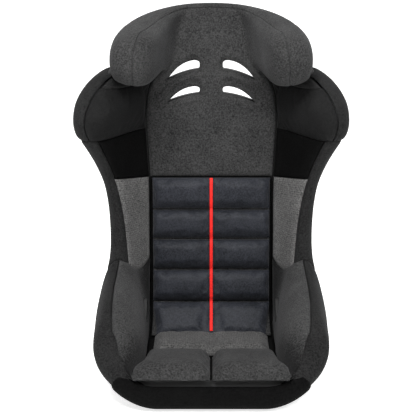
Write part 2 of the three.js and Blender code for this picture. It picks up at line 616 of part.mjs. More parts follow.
// the head's rim cover runs up one wing, over the top and down the other wing
const rimRows = stretch(T_NOTCH + NOTCH_GAP, T_WRAP_BACK, C_CREST_OUT, WRAP_SIDE);
rimRows[0] = rimRows[0].map(([t, c]) => [t + NOTCH_SLANT * (WRAP_SIDE - c), c]);
const cornerC = rimRows[0].map(([, c]) => c);
const cornerT = steps(LAST, T_WRAP_BACK, cornerC.length - 1);
const CORNER_STEPS = [1 / 3, 2 / 3, 1];
CORNER_STEPS.forEach((f) => rimRows.push(cornerC.map((c, k) => [mix(T_WRAP_BACK, cornerT[k], f), c])));
CORNER_STEPS.forEach((f) => rimRows.push(cornerC.map((c, k) => [cornerT[k], mix(c, WRAP_SIDE, f)])));
linesBetween(C_LINES, WRAP_SIDE, 5).slice(1).forEach((c) => rimRows.push(cornerT.map((t) => [t, c])));
const otherSide = rimRows.slice(0, -1).reverse().map((row) => row.map(([t, c]) => [t, 10 - c]));
add('head_rim_cover', cut(panel([...rimRows, ...otherSide])), KNIT);

// ---- loose cushions, held by hook-and-loop tape --------------------------------------
const BACK_HALF = 0.955;
const BOARD_GAP = 0.05;
const CHANNEL_EDGES = [T_CUSHION_TOP, 14, 13, 12, 10.7, T_CUSHION_LOW];
const CHANNEL_EDGE_DROP = 9;
const CHANNEL_GAP = 0.02;
const GROOVE = 5;
const GROOVE_HALF = 0.05;

add('back_cushion_board', panel(
  stretch(T_CUSHION_LOW + BOARD_GAP, T_CUSHION_TOP - BOARD_GAP, -BACK_HALF, BACK_HALF),
  -CUSHION_LIFT, CUSHION_LIFT + BACK_BOARD), KNIT);

// half width of the back cushion, in c: it narrows towards the pan
const cushionHalf = (t) => mix(0.88, BACK_HALF, smooth((t - T_CUSHION_LOW) / 2.4));
const CHANNEL_COLUMNS = [-1, -0.93, -0.5, -GROOVE_HALF, 0, GROOVE_HALF, 0.5, 0.93, 1];

CHANNEL_EDGES.slice(0, -1).forEach((high, k) => {
  const low = CHANNEL_EDGES[k + 1] + CHANNEL_GAP;
  const top = high - CHANNEL_GAP;
  const rows = linesBetween(T_LINES, mix(low, top, 0.12), mix(low, top, 0.88));
  const nodes = [low, ...rows, top].map((t) => CHANNEL_COLUMNS.map((v) => [t, v * cushionHalf(t)]));
  const front = (u, v) => {
    const across = CHANNEL_COLUMNS[Math.round(v * (CHANNEL_COLUMNS.length - 1))];
    if (u === 0 || u === 1 || Math.abs(across) === 1) return BACK_PAD - CHANNEL_EDGE_DROP;
    return BACK_PAD - (Math.abs(across) <= GROOVE_HALF ? GROOVE : 0);
  };
  add(`back_channel_${k + 1}`, panel(nodes, -(CUSHION_LIFT + BACK_BOARD + FOAM_GAP), front), CHANNEL_CLOTH);
});

const STRIPE_HALF = 3.9;
const STRIPE_THICK = 1.6;
const STRIPE_BASE = BACK_PAD + FIT;
const stripeNodes = linesBetween([...new Set([...T_LINES, ...CHANNEL_EDGES])].sort((a, b) => a - b),
  T_CUSHION_LOW + 2 * BOARD_GAP, T_CUSHION_TOP - CHANNEL_GAP).map((t) => [-1, 1].map((side) =>
  [t, side * STRIPE_HALF / station(t).foot]));
add('centre_stripe', panel(stripeNodes, -STRIPE_BASE, STRIPE_BASE + STRIPE_THICK), STRIPE_TAPE);

const T_STRIP_FRONT = 6.03;
const T_STRIP_REAR = T_CUSHION_LOW - 0.06;
const STRIP_HALF = 0.9;
const STRIP_EDGE_DROP = 5;
add('seat_cushion_rear', panel(stretch(T_STRIP_FRONT, T_STRIP_REAR, -STRIP_HALF, STRIP_HALF),
  -CUSHION_LIFT, (u, v) => SEAT_PAD - (v === 0 || v === 1 ? STRIP_EDGE_DROP : 0)), MESH_CLOTH);

// front pads: each side of the crotch-strap notch, over the front rim
const FRONT_PAD = [
  // y, half width, top, underside
  [-88, 147, 70, 51],
  [-120, 148, 78, 55.5],
  [-160, 149, 86, 62],
  [-200, 153, 92, 70],
  [-240, 160, 99, 78.5],
  [-272, 165, 104, 84],
  [-294, 166, 102, 84],
  [-306, 163, 92, 80],
];
const NOTCH_HALF = 2.5;
const PAD_EDGE_DROP = 6;
const PAD_COLUMNS = [0, 0.08, 0.5, 0.92, 1];
function frontPadLayer(top) {
  return FRONT_PAD.slice().reverse().map(([y, half, high, low]) => PAD_COLUMNS.map((v) => {
    const edge = v === 0 || v === 1 ? PAD_EDGE_DROP : 0;
    const z = top ? high - edge : low;
    return new THREE.Vector3(mix(NOTCH_HALF, half, v), y, z);
  }));
}
addPair('front_pad', slab(frontPadLayer(true), frontPadLayer(false)), KNIT);

const TAPE_LOW = 0.5;
add('back_hook_tape', panel(stretch(11, 15, -0.5, 0.5), -TAPE_LOW, TAPE_LOW + TAPE), HOOK_TAPE);

export default seat;
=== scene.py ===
"""Looks of the fixed-back racing seat: fine sewn covers, stuffed cushions, shell, light and camera.

The padded body is the same surface P(t, c) as in the solid model, here in millimetres:
t runs from the front lip along the pan, up the back and over the head; c runs across, 0 inner
centre line, 1 foot of the side wall, 2 crest, 3 widest line outside, 4 edge of the flat back,
5 outer centre line, and the other half is at -c and at 10 - c. Every cover is a fine grid on
that surface.
"""

import math

import bmesh
import bpy
import numpy as np
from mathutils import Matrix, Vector


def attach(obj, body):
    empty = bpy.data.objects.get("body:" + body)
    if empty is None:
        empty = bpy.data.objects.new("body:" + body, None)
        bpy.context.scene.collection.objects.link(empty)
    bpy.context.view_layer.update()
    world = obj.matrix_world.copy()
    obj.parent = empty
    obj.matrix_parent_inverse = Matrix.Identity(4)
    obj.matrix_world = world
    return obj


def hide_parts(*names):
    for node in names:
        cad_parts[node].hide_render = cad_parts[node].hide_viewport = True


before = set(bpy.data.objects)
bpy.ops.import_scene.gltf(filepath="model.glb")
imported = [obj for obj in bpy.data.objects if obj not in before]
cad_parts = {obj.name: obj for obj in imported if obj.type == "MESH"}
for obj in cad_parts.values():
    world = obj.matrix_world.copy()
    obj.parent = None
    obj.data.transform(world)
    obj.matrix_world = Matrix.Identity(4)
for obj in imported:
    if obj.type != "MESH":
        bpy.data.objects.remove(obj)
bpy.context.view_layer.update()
MM = 0.001

# ---- the body surface ----
FIELDS = (
    "centre_y centre_z outer_y outer_z crest_y crest_z foot top wide "
    "wall rim drop base lift reach round gable"
).split()
STATIONS = np.array([
    # fields in the order above, lengths in mm and angles in degrees; row 0 is the front lip
    [-298, 72, -304, 66, -218, 150, 166, 217, 224, 30, 60, 24, 118, 0, 0.30, 0.35, 0],
    [-286, 80, -307, 42, -206, 160, 170, 219, 252, 40, 32, 38, 116, 0, 0.38, 0.45, 0],
    [-266, 80, -300, 18, -192, 168, 168, 221, 259, 55, 12, 50, 116, 0, 0.42, 0.60, 0],
    [-238, 75, -276, 3, -174, 177, 163, 223, 261, 70, 0, 60, 118, 0, 0.45, 0.70, 0],
    [-200, 67, -238, 0, -150, 185, 156, 225, 263, 80, 0, 66, 122, 0, 0.45, 0.75, 0],
    [-148, 57, -170, 0, -116, 193, 152, 227, 265, 88, 0, 70, 126, 0, 0.45, 0.75, 0],
    [-80, 47, -90, 0, -74, 201, 152, 228, 268, 90, 0, 72, 130, 0, 0.45, 0.75, 0],
    [-12, 41, -8, 0, -30, 208, 154, 229, 269, 90, 0, 72, 134, 0, 0.45, 0.75, 0],
    [48, 42, 62, 0, 10, 216, 154, 228, 268, 88, 0, 70, 136, 0, 0.42, 0.70, 0],
    [94, 56, 116, 22, 40, 228, 153, 226, 264, 82, 0, 64, 138, 0, 0.40, 0.60, 0],
    [124, 86, 153, 62, 60, 246, 152, 223, 256, 72, 0, 56, 140, 0, 0.38, 0.50, 0],
    [145, 130, 178, 118, 74, 270, 152, 221, 249, 60, 0, 48, 141, 0, 0.36, 0.40, 0],
    [163, 193, 196, 190, 82, 302, 152, 221, 246, 52, 0, 42, 142, 0, 0.36, 0.36, 0],
    [180, 268, 214, 266, 88, 342, 153, 224, 247, 48, 0, 38, 144, 0, 0.36, 0.35, 0],
    [195, 341, 230, 338, 90, 384, 153, 231, 251, 47, 0, 36, 146, 0, 0.36, 0.35, 0],
    [206, 408, 243, 406, 84, 430, 154, 242, 260, 47, 0, 36, 150, 0, 0.36, 0.35, 0],
    [213, 470, 253, 470, 64, 478, 157, 258, 278, 48, 0, 38, 156, 0, 0.38, 0.35, 0],
    [218, 522, 261, 524, 36, 522, 160, 276, 299, 50, 0, 40, 162, 0, 0.38, 0.35, 0],
    [221, 562, 267, 565, 14, 556, 162, 290, 318, 52, 0, 40, 166, 0, 0.38, 0.38, 0],
    [224, 596, 272, 602, 8, 587, 160, 294, 322, 54, 0, 40, 168, 3, 0.38, 0.38, 0],
    [227, 625, 276, 634, 24, 612, 156, 284, 314, 54, 0, 40, 162, 12, 0.38, 0.38, 0],
    [230, 648, 279, 658, 66, 632, 146, 262, 287, 56, 0, 34, 150, 28, 0.38, 0.40, 0],
    [233, 668, 282, 681, 120, 645, 130, 232, 248, 60, 0, 22, 134, 44, 0.40, 0.45, 0],
    [236, 688, 285, 704, 50, 655, 108, 188, 231, 66, 0, 44, 122, 26, 0.45, 0.70, 0],
    [239, 714, 288, 732, 22, 700, 96, 185, 236, 68, 0, 50, 116, 4, 0.48, 0.78, 0],
    [243, 748, 291, 766, 16, 740, 92, 182, 235, 68, 0, 52, 110, 0, 0.48, 0.78, 0],
    [246, 782, 291, 803, 24, 771, 86, 176, 226, 66, 0, 52, 96, 0, 0.46, 0.75, 2],
    [249, 814, 283, 834, 40, 789, 76, 171, 212, 58, 15, 46, 70, 0, 0.44, 0.60, 5],
    [252, 838, 264, 848, 62, 801, 58, 165, 196, 30, 45, 36, 40, 0, 0.40, 0.35, 7],
], dtype=float)
LAST = len(STATIONS) - 1
PADDED = np.vstack([2 * STATIONS[0] - STATIONS[1], STATIONS, 2 * STATIONS[-1] - STATIONS[-2]])
OUTER_HANDLE = 0.55
OUTER_RISE = 0.6
BASE_HANDLE = 0.45
LIFT_AT = 250              # lift is the rise this far from the centre line
GABLE_AT = 100             # gable is the fall this far from it
GABLE_ROUND = 40
STEP_T = 0.08
STEP_C = 0.02

T_FRONT_EDGE = 0.6
T_OUTER_EDGE = 0.08
T_APRON = 3
T_WRAP_TURN = 1.6
T_CUSHION_LOW = 8.35
T_WAIST = 10
T_INSERT_FOOT = 12.4
T_CUSHION_TOP = 15.2
T_SHOULDER = 17.5
T_PAD_TOP = 21
T_NOTCH = 22
T_WRAP_BACK = 27
C_INSERT_EDGE = 1.86
C_INSERT_LOW = 1.72
WRAP_SIDE = 3.2
WRAP_FRONT = 3.6
SHELL_RIM = 2.55
T_GAP = 0.012
C_GAP = 0.012


def mix(a, b, f):
    return a + (b - a) * f


def smooth(x):
    f = np.clip(x, 0, 1)
    return f * f * (3 - 2 * f)


def bezier(p0, p1, p2, p3, u):
    v = 1 - u
    return v ** 3 * p0 + 3 * v * v * u * p1 + 3 * v * u * u * p2 + u ** 3 * p3


def station(t):
    """Every field at the places t, by a Catmull-Rom curve through the stations."""
    i = np.clip(np.floor(t).astype(int), 0, LAST - 1)
    f = (t - i)[..., None]
    a, b, c, d = (PADDED[i + k] for k in range(4))
    rows = 0.5 * (2 * b + (c - a) * f + (2 * a - 5 * b + 4 * c - d) * f ** 2
                  + (3 * b - a - 3 * c + d) * f ** 3)
    return dict(zip(FIELDS, np.moveaxis(rows, -1, 0)))


def body(t, c):
    """Points of the body surface."""
    t, c = np.broadcast_arrays(np.asarray(t, float), np.asarray(c, float))
    side = np.where((c < 0) | (c > 5), -1.0, 1.0)
    c = np.where(c > 5, 10 - c, np.abs(c))
    s = station(t)
    from_y = np.where(c <= 2, s["centre_y"], s["outer_y"])
    from_z = np.where(c <= 2, s["centre_z"], s["outer_z"])
    depth = np.hypot(s["crest_y"] - from_y, s["crest_z"] - from_z)
    foot, top, wide, base = s["foot"], s["top"], s["wide"], s["base"]
    wall, rim = np.radians(s["wall"]), np.radians(s["rim"])
    reach = s["reach"] * depth
    turn = s["round"] * (top - foot)
    out = OUTER_HANDLE * (wide - top)
    low = depth - s["drop"]
    u = c - np.clip(np.ceil(c) - 1, 0, 4)
    zero = np.zeros_like(u)
    xs = [
        c * foot,
        bezier(foot, foot + reach * np.cos(wall), top - turn * np.cos(rim), top, u),
        bezier(top, top + out * np.cos(rim), wide, wide, u),
        bezier(wide, wide, mix(base, wide, BASE_HANDLE), base, u),
        base * (5 - c),
    ]
    ds = [
        zero,
        bezier(zero, reach * np.sin(wall), depth - turn * np.sin(rim), depth, u),
        bezier(depth, depth + OUTER_RISE * out * np.sin(rim),
               depth - s["drop"] * (1 - OUTER_HANDLE), low, u),
        bezier(low, low * BASE_HANDLE, zero, zero, u),
        zero,
    ]
    places = [c <= 1, c <= 2, c <= 3, c <= 4, c <= 5]
    x = np.select(places, xs)
    d = np.select(places, ds)
    fall = s["gable"] * (np.hypot(x, GABLE_ROUND) - GABLE_ROUND) / GABLE_AT
    rise = s["lift"] * (x / LIFT_AT) ** 2 - fall
    z = from_z + (s["crest_z"] - from_z) * d / depth + rise
    y = from_y + (s["crest_y"] - from_y) * d / depth
    return np.stack([side * x, y, np.maximum(z, 0)], -1)


def unit(v):
    return v / np.maximum(np.linalg.norm(v, axis=-1, keepdims=True), 1e-9)


def outward(t, c):
    """Outward normals of the body surface."""
    along = body(np.minimum(t + STEP_T, LAST), c) - body(np.maximum(t - STEP_T, 0), c)
    across = body(t, c + STEP_C) - body(t, c - STEP_C)
    return unit(np.cross(across, along))


def along_at(c):
    """The body's curve at one place across."""
    return lambda t: body(t, np.full_like(t, c))


def across_at(t):
    """The body's curve at one place along."""
    return lambda c: body(np.full_like(c, t), c)


# ---- grids on the surface ----
SEAM_DIP = 2.2
COVER_PROUD = 1.2


def lengths(points, axis):
    """Distance run along one axis of a grid, in mm, from its first row or column."""
    step = np.linalg.norm(np.diff(points, axis=axis), axis=-1)
    run = np.cumsum(step, axis=axis)
    first = np.zeros_like(np.take(run, [0], axis=axis))
    return np.concatenate([first, run], axis=axis)


def even(start, end, curve, spacing):
    """Places from start to end, evenly spaced in mm along curve(places)."""
    fine = np.linspace(start, end, 200)
    run = lengths(curve(fine), 0)
    count = max(int(math.ceil(run[-1] / spacing)), 2)
    return np.interp(np.linspace(0, run[-1], count + 1), run, fine)


def patch(t0, t1, c0, c1, spacing=5.0):
    """Even grid of (t, c) over a stretch of the body."""
    middle_t, middle_c = (t0 + t1) / 2, (c0 + c1) / 2
    rows = even(t0, t1, along_at(middle_c), spacing)
    cols = even(c0, c1, across_at(middle_t), spacing)
    return np.meshgrid(rows, cols, indexing="ij")


def edge_distance(points, seams):
    """Distance in mm from each node to the nearest seamed edge: b first row, t last row, l, r."""
    along, across = lengths(points, 0), lengths(points, 1)
    sides = {"b": along, "t": along[-1:] - along, "l": across, "r": across[:, -1:] - across}
    return np.minimum.reduce([sides[key] for key in seams])


def roll(distance, dip, proud, width=5.0):
    """Height of a sewn cover: sunk at the seam, standing proud away from it."""
    return -dip + (dip + proud) * (1 - np.exp(-(distance / width) ** 1.4))


def eased(count):
    """Places from 0 to 1, closer together towards both ends."""
    return 0.5 - 0.5 * np.cos(np.linspace(0, math.pi, count))


def eased_both(count, power):
    """Places from -1 to 1, closer together towards both ends and, a little, in the middle."""
    across = np.sin(np.linspace(-math.pi / 2, math.pi / 2, count))
    return np.sign(across) * np.abs(across) ** power


def dome(x, power):
    """Height of a stuffed section: 1 in the middle, 0 where x is 1 or -1."""
    return np.clip(1 - np.abs(x) ** power, 0, 1) ** 0.5


def grid_faces(rows, cols):
    index = np.arange(rows * cols).reshape(rows, cols)
    corners = [index[:-1, :-1], index[:-1, 1:], index[1:, 1:], index[1:, :-1]]
    return np.stack(corners, -1).reshape(-1, 4)


def relax(points, times, weight=None):
    """Averages the inside of a grid with its neighbours; weight says where, 0 to 1."""
    points = points.copy()
    for _ in range(times):
        near = (points[:-2, 1:-1] + points[2:, 1:-1] + points[1:-1, :-2] + points[1:-1, 2:]) / 4
        share = 0.5 if weight is None else 0.5 * weight[1:-1, 1:-1, None]
        points[1:-1, 1:-1] += (near - points[1:-1, 1:-1]) * share
    return points


class Sheet:
    """Points, faces and flat coordinates of a cover before it becomes an object."""

    def __init__(self, points, uv=None):
        rows, cols = points.shape[:2]
        if uv is None:
            middle = lengths(points[:, cols // 2], 0)[:, None]
            uv = np.stack(np.broadcast_arrays(lengths(points, 1), middle), -1)
        self.points = points.reshape(-1, 3)
        self.uv = uv.reshape(-1, 2)
        self.faces = grid_faces(rows, cols)

    def join(self, other):
        self.faces = np.vstack([self.faces, other.faces + len(self.points)])
        self.points = np.vstack([self.points, other.points])
        self.uv = np.vstack([self.uv, other.uv])
        return self

    def mirrored(self):
        other = Sheet.__new__(Sheet)
        other.points = self.points * [-1, 1, 1]
        other.uv = self.uv
        other.faces = self.faces[:, ::-1]
        return other


def distance_to(outline, points):
    """Distance from each 2-D point to the nearest point of an outline."""
    return np.linalg.norm(points[:, None] - outline[None], axis=-1).min(1)


# ---- openings for the harness ----
SLOT_ROWS = {"upper": 0.0, "lower": -56.0}
SLOT_TALL = {"upper": 48, "lower": 40}
SLOT_FROM_Y = 180
SLOT_TO_Y = 310
SLOT_INNER_X = 29
SLOT_TIP_X = 109
SLOT_TIP_Z = 661
TRIM_WALL = 1.8
LINE_STEPS = 4
CURVE_STEPS = 14


def curve_points(parts):
    """Points along straight, quadratic and cubic pieces, each a list of its control points."""
    out = []
    for part in parts:
        p = [np.array(q, float) for q in part]
        if len(p) == 2:
            steps = np.linspace(0, 1, LINE_STEPS + 1)[:-1, None]
            out.append(p[0] * (1 - steps) + p[1] * steps)
            continue
        if len(p) == 3:
            p = [p[0], (p[0] + 2 * p[1]) / 3, (p[2] + 2 * p[1]) / 3, p[2]]
        steps = np.linspace(0, 1, CURVE_STEPS + 1)[:-1, None]
        out.append(bezier(*p, steps))
    return np.vstack(out)


def harness_outline(row, grow):
    """A shoulder slot's outline in the X-Z plane: a leaf with its tip outwards."""
    z = SLOT_TIP_Z + SLOT_ROWS[row]
    tall = SLOT_TALL[row]
    x0 = SLOT_INNER_X
    tip = (SLOT_TIP_X + 2.6 * grow, z - 1.6 * grow)
    a = (x0 - grow, z + 0.62 * tall)
    b = (x0 - grow, z + 0.84 * tall)
    top = (x0 + 14, z + tall + grow)
    bottom = (x0 + 8, z + 0.5 * tall - grow)
    return curve_points([
        [a, b],
        [b, (x0 - grow, z + tall + grow), top],
        [top, (x0 + 40, z + 0.93 * tall + grow), (SLOT_TIP_X - 20, z + 0.62 * tall + grow), tip],
        [tip, (SLOT_TIP_X - 20, z + 0.22 * tall - grow), (x0 + 34, z + 0.42 * tall - grow), bottom],
        [bottom, (x0 - grow, z + 0.5 * tall - grow), a],
    ])


def rounded_rectangle(width, height, radius, count=6):
    turns = np.linspace(0, math.pi / 2, count + 1)
    corner = np.stack([np.cos(turns), np.sin(turns)], 1) * radius
    out = []
    for quarter, (sx, sy) in enumerate([(1, 1), (-1, 1), (-1, -1), (1, -1)]):
        angle = quarter * math.pi / 2
        spin = np.array([[math.cos(angle), math.sin(angle)], [-math.sin(angle), math.cos(angle)]])
        out.append(corner @ spin + [sx * (width / 2 - radius), sy * (height / 2 - radius)])
    return np.vstack(out)


LAP = {"width": 60, "height": 22, "corner": 8, "y": 76, "z": 112, "tilt": 35,
       "from": 140, "to": 290, "trim_from": 158, "trim_to": 262}


def lap_outline(grow):
    """The lap-belt tunnel's outline in the Y-Z plane."""
    flat = rounded_rectangle(LAP["width"] + 2 * grow, LAP["height"] + 2 * grow,
                             LAP["corner"] + grow)
    angle = math.radians(90 + LAP["tilt"])
    y = flat[:, 1] * math.cos(angle) + flat[:, 0] * math.sin(angle)
    z = flat[:, 1] * math.sin(angle) - flat[:, 0] * math.cos(angle)
    return np.stack([y + LAP["y"], z + LAP["z"]], 1)


CROTCH = {"width": 64, "length": 12, "corner": 4, "y": -84,
          "from": -20, "to": 120, "trim_from": 0.3, "trim_to": 43}


def crotch_outline(grow):
    """The crotch slot's outline in the X-Y plane."""
    flat = rounded_rectangle(CROTCH["width"] + 2 * grow, CROTCH["length"] + 2 * grow,
                             CROTCH["corner"] + grow)
    return flat + [0, CROTCH["y"]]


def in_xz(outline, y):
    return np.stack([outline[:, 0], np.full(len(outline), y), outline[:, 1]], 1)


def in_yz(outline, x):
    return np.stack([np.full(len(outline), x), outline[:, 0], outline[:, 1]], 1)


def in_xy(outline, z):
    return np.stack([outline[:, 0], outline[:, 1], np.full(len(outline), z)], 1)


# ---- materials ----
class Nodes:
    """Short hand for building one material."""

    def __init__(self, name):
        self.material = bpy.data.materials.new(name)
        self.material.use_nodes = True
        self.tree = self.material.node_tree
        self.shader = self.tree.nodes["Principled BSDF"]

    def add(self, kind, **values):
        node = self.tree.nodes.new(kind)
        for key, value in values.items():
            if key in node.inputs:
                node.inputs[key].default_value = value
            else:
                setattr(node, key, value)
        return node

    def link(self, output, target):
        self.tree.links.new(output, target)

    def set(self, **values):
        for key, value in values.items():
            self.shader.inputs[key.replace("_", " ")].default_value = value

    def noise(self, coords, scale, detail=3.0, rough=0.6):
        node = self.add("ShaderNodeTexNoise", Scale=scale, Detail=detail, Roughness=rough)
        self.link(coords, node.inputs["Vector"])
        return node.outputs["Fac"]

    def wave(self, coords, scale, direction):
        node = self.add("ShaderNodeTexWave", Scale=scale, Distortion=0.6,
                        bands_direction=direction, wave_profile="SIN")
        node.inputs["Detail Scale"].default_value = 3.0
        self.link(coords, node.inputs["Vector"])
        return node.outputs["Fac"]

    def maths(self, operation, a, b=0.5, c=0.5):
        node = self.add("ShaderNodeMath", operation=operation)
        for slot, value in zip(node.inputs, (a, b, c)):
            if isinstance(value, (int, float)):
                slot.default_value = value
            else:
                self.link(value, slot)
        return node.outputs[0]

    def ramp(self, factor, stops):
        node = self.add("ShaderNodeValToRGB")
        ramp = node.color_ramp
        while len(ramp.elements) < len(stops):
            ramp.elements.new(0.5)
        for element, (place, color) in zip(ramp.elements, stops):
            element.position = place
            element.color = (*color, 1)
        self.link(factor, node.inputs["Fac"])
        return node.outputs["Color"]

    def bump(self, height, strength, distance):
        node = self.add("ShaderNodeBump", Strength=strength, Distance=distance)
        self.link(height, node.inputs["Height"])
        previous = self.shader.inputs["Normal"]
        if previous.is_linked:
            self.link(previous.links[0].from_socket, node.inputs["Normal"])
        self.link(node.outputs["Normal"], previous)


def grey(value, warm=0.0):
    return (value * (1 + warm), value, value * (1 - warm))


BANDS = 0.314              # scale of a wave texture whose bands are 1 m apart
LINT_SCALE = 260
WORN_SCALE = 14
RUCK_SCALE = 45


def cloth(name, dark, light, pitch=0.0016, fuzz=0.35, wear=0.25, rough=0.92, crease=0.0, gloss=0.12):
    """Knit or woven cloth: ribs across, courses along, flecks of lint and worn places.

    With a crease, in metres, the cloth is darker that far from its inner edge: painted shade in the
    crease at the foot of the side wall.
    """
    n = Nodes(name)
    coords = n.add("ShaderNodeTexCoord")
    uv, place = coords.outputs["UV"], coords.outputs["Object"]
    ribs = n.wave(uv, BANDS / pitch, "X")
    courses = n.wave(uv, BANDS / pitch * 0.8, "Y")
    weave = n.maths("MULTIPLY", ribs, courses)
    lint = n.noise(place, LINT_SCALE, 3.0, 0.75)
    worn = n.noise(place, WORN_SCALE, 4.0, 0.62)
    mixed = n.maths("ADD", n.maths("MULTIPLY", lint, 0.9), n.maths("MULTIPLY", weave, 0.14))
    mixed = n.maths("ADD", mixed, n.maths("MULTIPLY", n.maths("SUBTRACT", worn, 0.5), wear * 2))
    # painted shade: the colour darkens towards the inner edge, in the crease where less light falls
    if crease:
        across = n.add("ShaderNodeSeparateXYZ")
        n.link(uv, across.inputs["Vector"])
        crease_shade = n.add("ShaderNodeMapRange", interpolation_type="SMOOTHSTEP")
        n.link(across.outputs["X"], crease_shade.inputs["Value"])
        crease_shade.inputs["From Max"].default_value = crease
        crease_shade.inputs["To Min"].default_value = -0.26
        crease_shade.inputs["To Max"].default_value = 0.03
        mixed = n.maths("ADD", mixed, crease_shade.outputs["Result"])
    n.link(n.ramp(mixed, [(0.30, dark), (0.68, light)]), n.shader.inputs["Base Color"])
    n.bump(weave, 0.35, 0.0004)
    n.bump(lint, 0.25, 0.0006)
    n.bump(n.noise(place, RUCK_SCALE, 3.0, 0.55), 0.25, 0.0016)
    n.set(Roughness=rough, Sheen_Weight=fuzz, Sheen_Roughness=0.55, Specular_IOR_Level=gloss)
    n.shader.inputs["Sheen Tint"].default_value = (0.9, 0.9, 0.92, 1)
    return n.material


def hard(name, color, rough, coat=0.0, metal=0.0, grain=240, grain_depth=0.0001):
    """Laminate, moulded plastic or metal with fine grain and slightly uneven gloss."""
    n = Nodes(name)
    place = n.add("ShaderNodeTexCoord").outputs["Object"]
    fine = n.noise(place, grain, 5.0, 0.6)
    broad = n.noise(place, 9, 4.0, 0.6)
    darker = tuple(v * 0.8 for v in color)
    n.link(n.ramp(broad, [(0.35, darker), (0.7, color)]), n.shader.inputs["Base Color"])
    uneven = n.maths("MULTIPLY_ADD", broad, 0.16, rough - 0.08)
    n.link(uneven, n.shader.inputs["Roughness"])
    n.bump(fine, 0.3, grain_depth)
    n.set(Metallic=metal, Coat_Weight=coat, Coat_Roughness=0.12)
    return n.material


MATERIALS = {
    "knit": cloth("black_knit", grey(0.003), grey(0.050), wear=0.13, fuzz=0.05),
    # painted shade: the bolster's knit is darker in the crease along its inner edge
    "knit_thigh": cloth("black_knit_bolster_crease_shade", grey(0.003), grey(0.054), wear=0.13, fuzz=0.05,
                        crease=0.10),
    "grey_seat": cloth("grey_mesh_seat", grey(0.008, 0.015), grey(0.105, 0.015), pitch=0.0042, fuzz=0.06,
                       wear=0.08),
    # painted shade: a darker copy of the black knit, for the outer thigh covers, the rims and the
    # shoulder tops, where less light falls
    "knit_painted_shade": cloth("black_knit_painted_shade", grey(0.002), grey(0.024), wear=0.12, fuzz=0.02,
                        gloss=0.08),
    # painted shade: the darkest copy of the black knit, for the linings in the gaps, the side panels and
    # the apron, where shade falls
    "knit_painted_deep_shade": cloth("black_knit_dark", grey(0.001), grey(0.006), wear=0.10, fuzz=0.0, gloss=0.04),
    "shoulder_knit": cloth("shoulder_knit", grey(0.001), grey(0.010), fuzz=0.02, wear=0.15, rough=0.8),
    "grey_mesh": cloth("grey_mesh", grey(0.012, 0.015), grey(0.165, 0.015), pitch=0.0042, fuzz=0.06,
                       wear=0.08),
    "channel_cloth": cloth("channel_cloth", (0.003, 0.004, 0.006), (0.027, 0.029, 0.037),
                           pitch=0.0020, fuzz=0.08, wear=0.2, rough=0.5),
    "red_tape": cloth("red_tape", (0.50, 0.010, 0.010), (0.90, 0.028, 0.020), pitch=0.0030,
                      fuzz=0.03, wear=0.05, rough=0.6),
    "foam": hard("foam", grey(0.06), 0.95, grain=900, grain_depth=0.0008),
    "gelcoat": hard("gelcoat", grey(0.010), 0.22, coat=0.6),
    "trim": hard("satin_trim", grey(0.004), 0.7),
    "steel": hard("zinc_steel", grey(0.55), 0.35, metal=1.0),
    "hook_tape": cloth("hook_tape", grey(0.006), grey(0.02), pitch=0.001, fuzz=0.1),
}


# ---- making objects ----
def build(name, sheet, slot, stands_for, thickness=4.0, weld=False):
    """A cover of the given thickness in mm, on its own object, riding on the seat."""
    mesh = bpy.data.meshes.new(name)
    mesh.from_pydata((sheet.points * MM).tolist(), [], sheet.faces.tolist())
    layer = mesh.uv_layers.new(name="flat")
    loops = np.zeros(len(mesh.loops), int)
    mesh.loops.foreach_get("vertex_index", loops)
    layer.data.foreach_set("uv", (sheet.uv[loops] * MM).ravel())
    mesh.polygons.foreach_set("use_smooth", np.ones(len(mesh.polygons), bool))
    mesh.materials.append(MATERIALS[slot])
    piece = bpy.data.objects.new(name, mesh)
    bpy.context.collection.objects.link(piece)
    if weld:
        piece.modifiers.new("weld", "WELD").merge_threshold = 0.0002
    if thickness:
        skin = piece.modifiers.new("thickness", "SOLIDIFY")
        skin.thickness = thickness * MM
        skin.offset = -1
    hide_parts(*stands_for)
    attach(piece, "root")
    return piece


def build_pair(name, sheet, slot, **options):
    """The left piece and its mirror image."""
    halves = {"left": sheet, "right": sheet.mirrored()}
    return [build(f"{name}_{side}_fine", half, slot, [f"{name}_{side}"], **options)
            for side, half in halves.items()]


def cover(t, c, seams, dip=SEAM_DIP, proud=COVER_PROUD):
    """A sewn cover over a grid of the body, rolled in at its seams."""
    flat = body(t, c)
    height = roll(edge_distance(flat, seams), dip, proud)
    return Sheet(flat + outward(t, c) * height[..., None])


def prism(outline, place, low, high):
    """A closed prism over an outline, as a temporary object."""
    count = len(outline)
    ends = np.vstack([place(outline, low), place(outline, high)]) * MM
    faces = [[k, (k + 1) % count, count + (k + 1) % count, count + k] for k in range(count)]
    faces += [list(range(count))[::-1], list(range(count, 2 * count))]
    mesh = bpy.data.meshes.new("tool")
    mesh.from_pydata(ends.tolist(), [], faces)
    made = bmesh.new()
    made.from_mesh(mesh)
    bmesh.ops.recalc_face_normals(made, faces=made.faces)
    made.to_mesh(mesh)
    made.free()
    tool = bpy.data.objects.new("tool", mesh)
    bpy.context.collection.objects.link(tool)
    return tool


def carve(piece, tools):
    """Cuts the openings into a piece and keeps the result as its mesh."""
    for tool in tools:
        modifier = piece.modifiers.new("opening", "BOOLEAN")
        modifier.operation = "DIFFERENCE"
        modifier.solver = "EXACT"
        modifier.object = tool
    result = piece.evaluated_get(bpy.context.evaluated_depsgraph_get())
    mesh = bpy.data.meshes.new_from_object(result)
    piece.modifiers.clear()
    piece.data = mesh
    for tool in tools:
        old = tool.data
        bpy.data.objects.remove(tool)
        bpy.data.meshes.remove(old)
    return piece


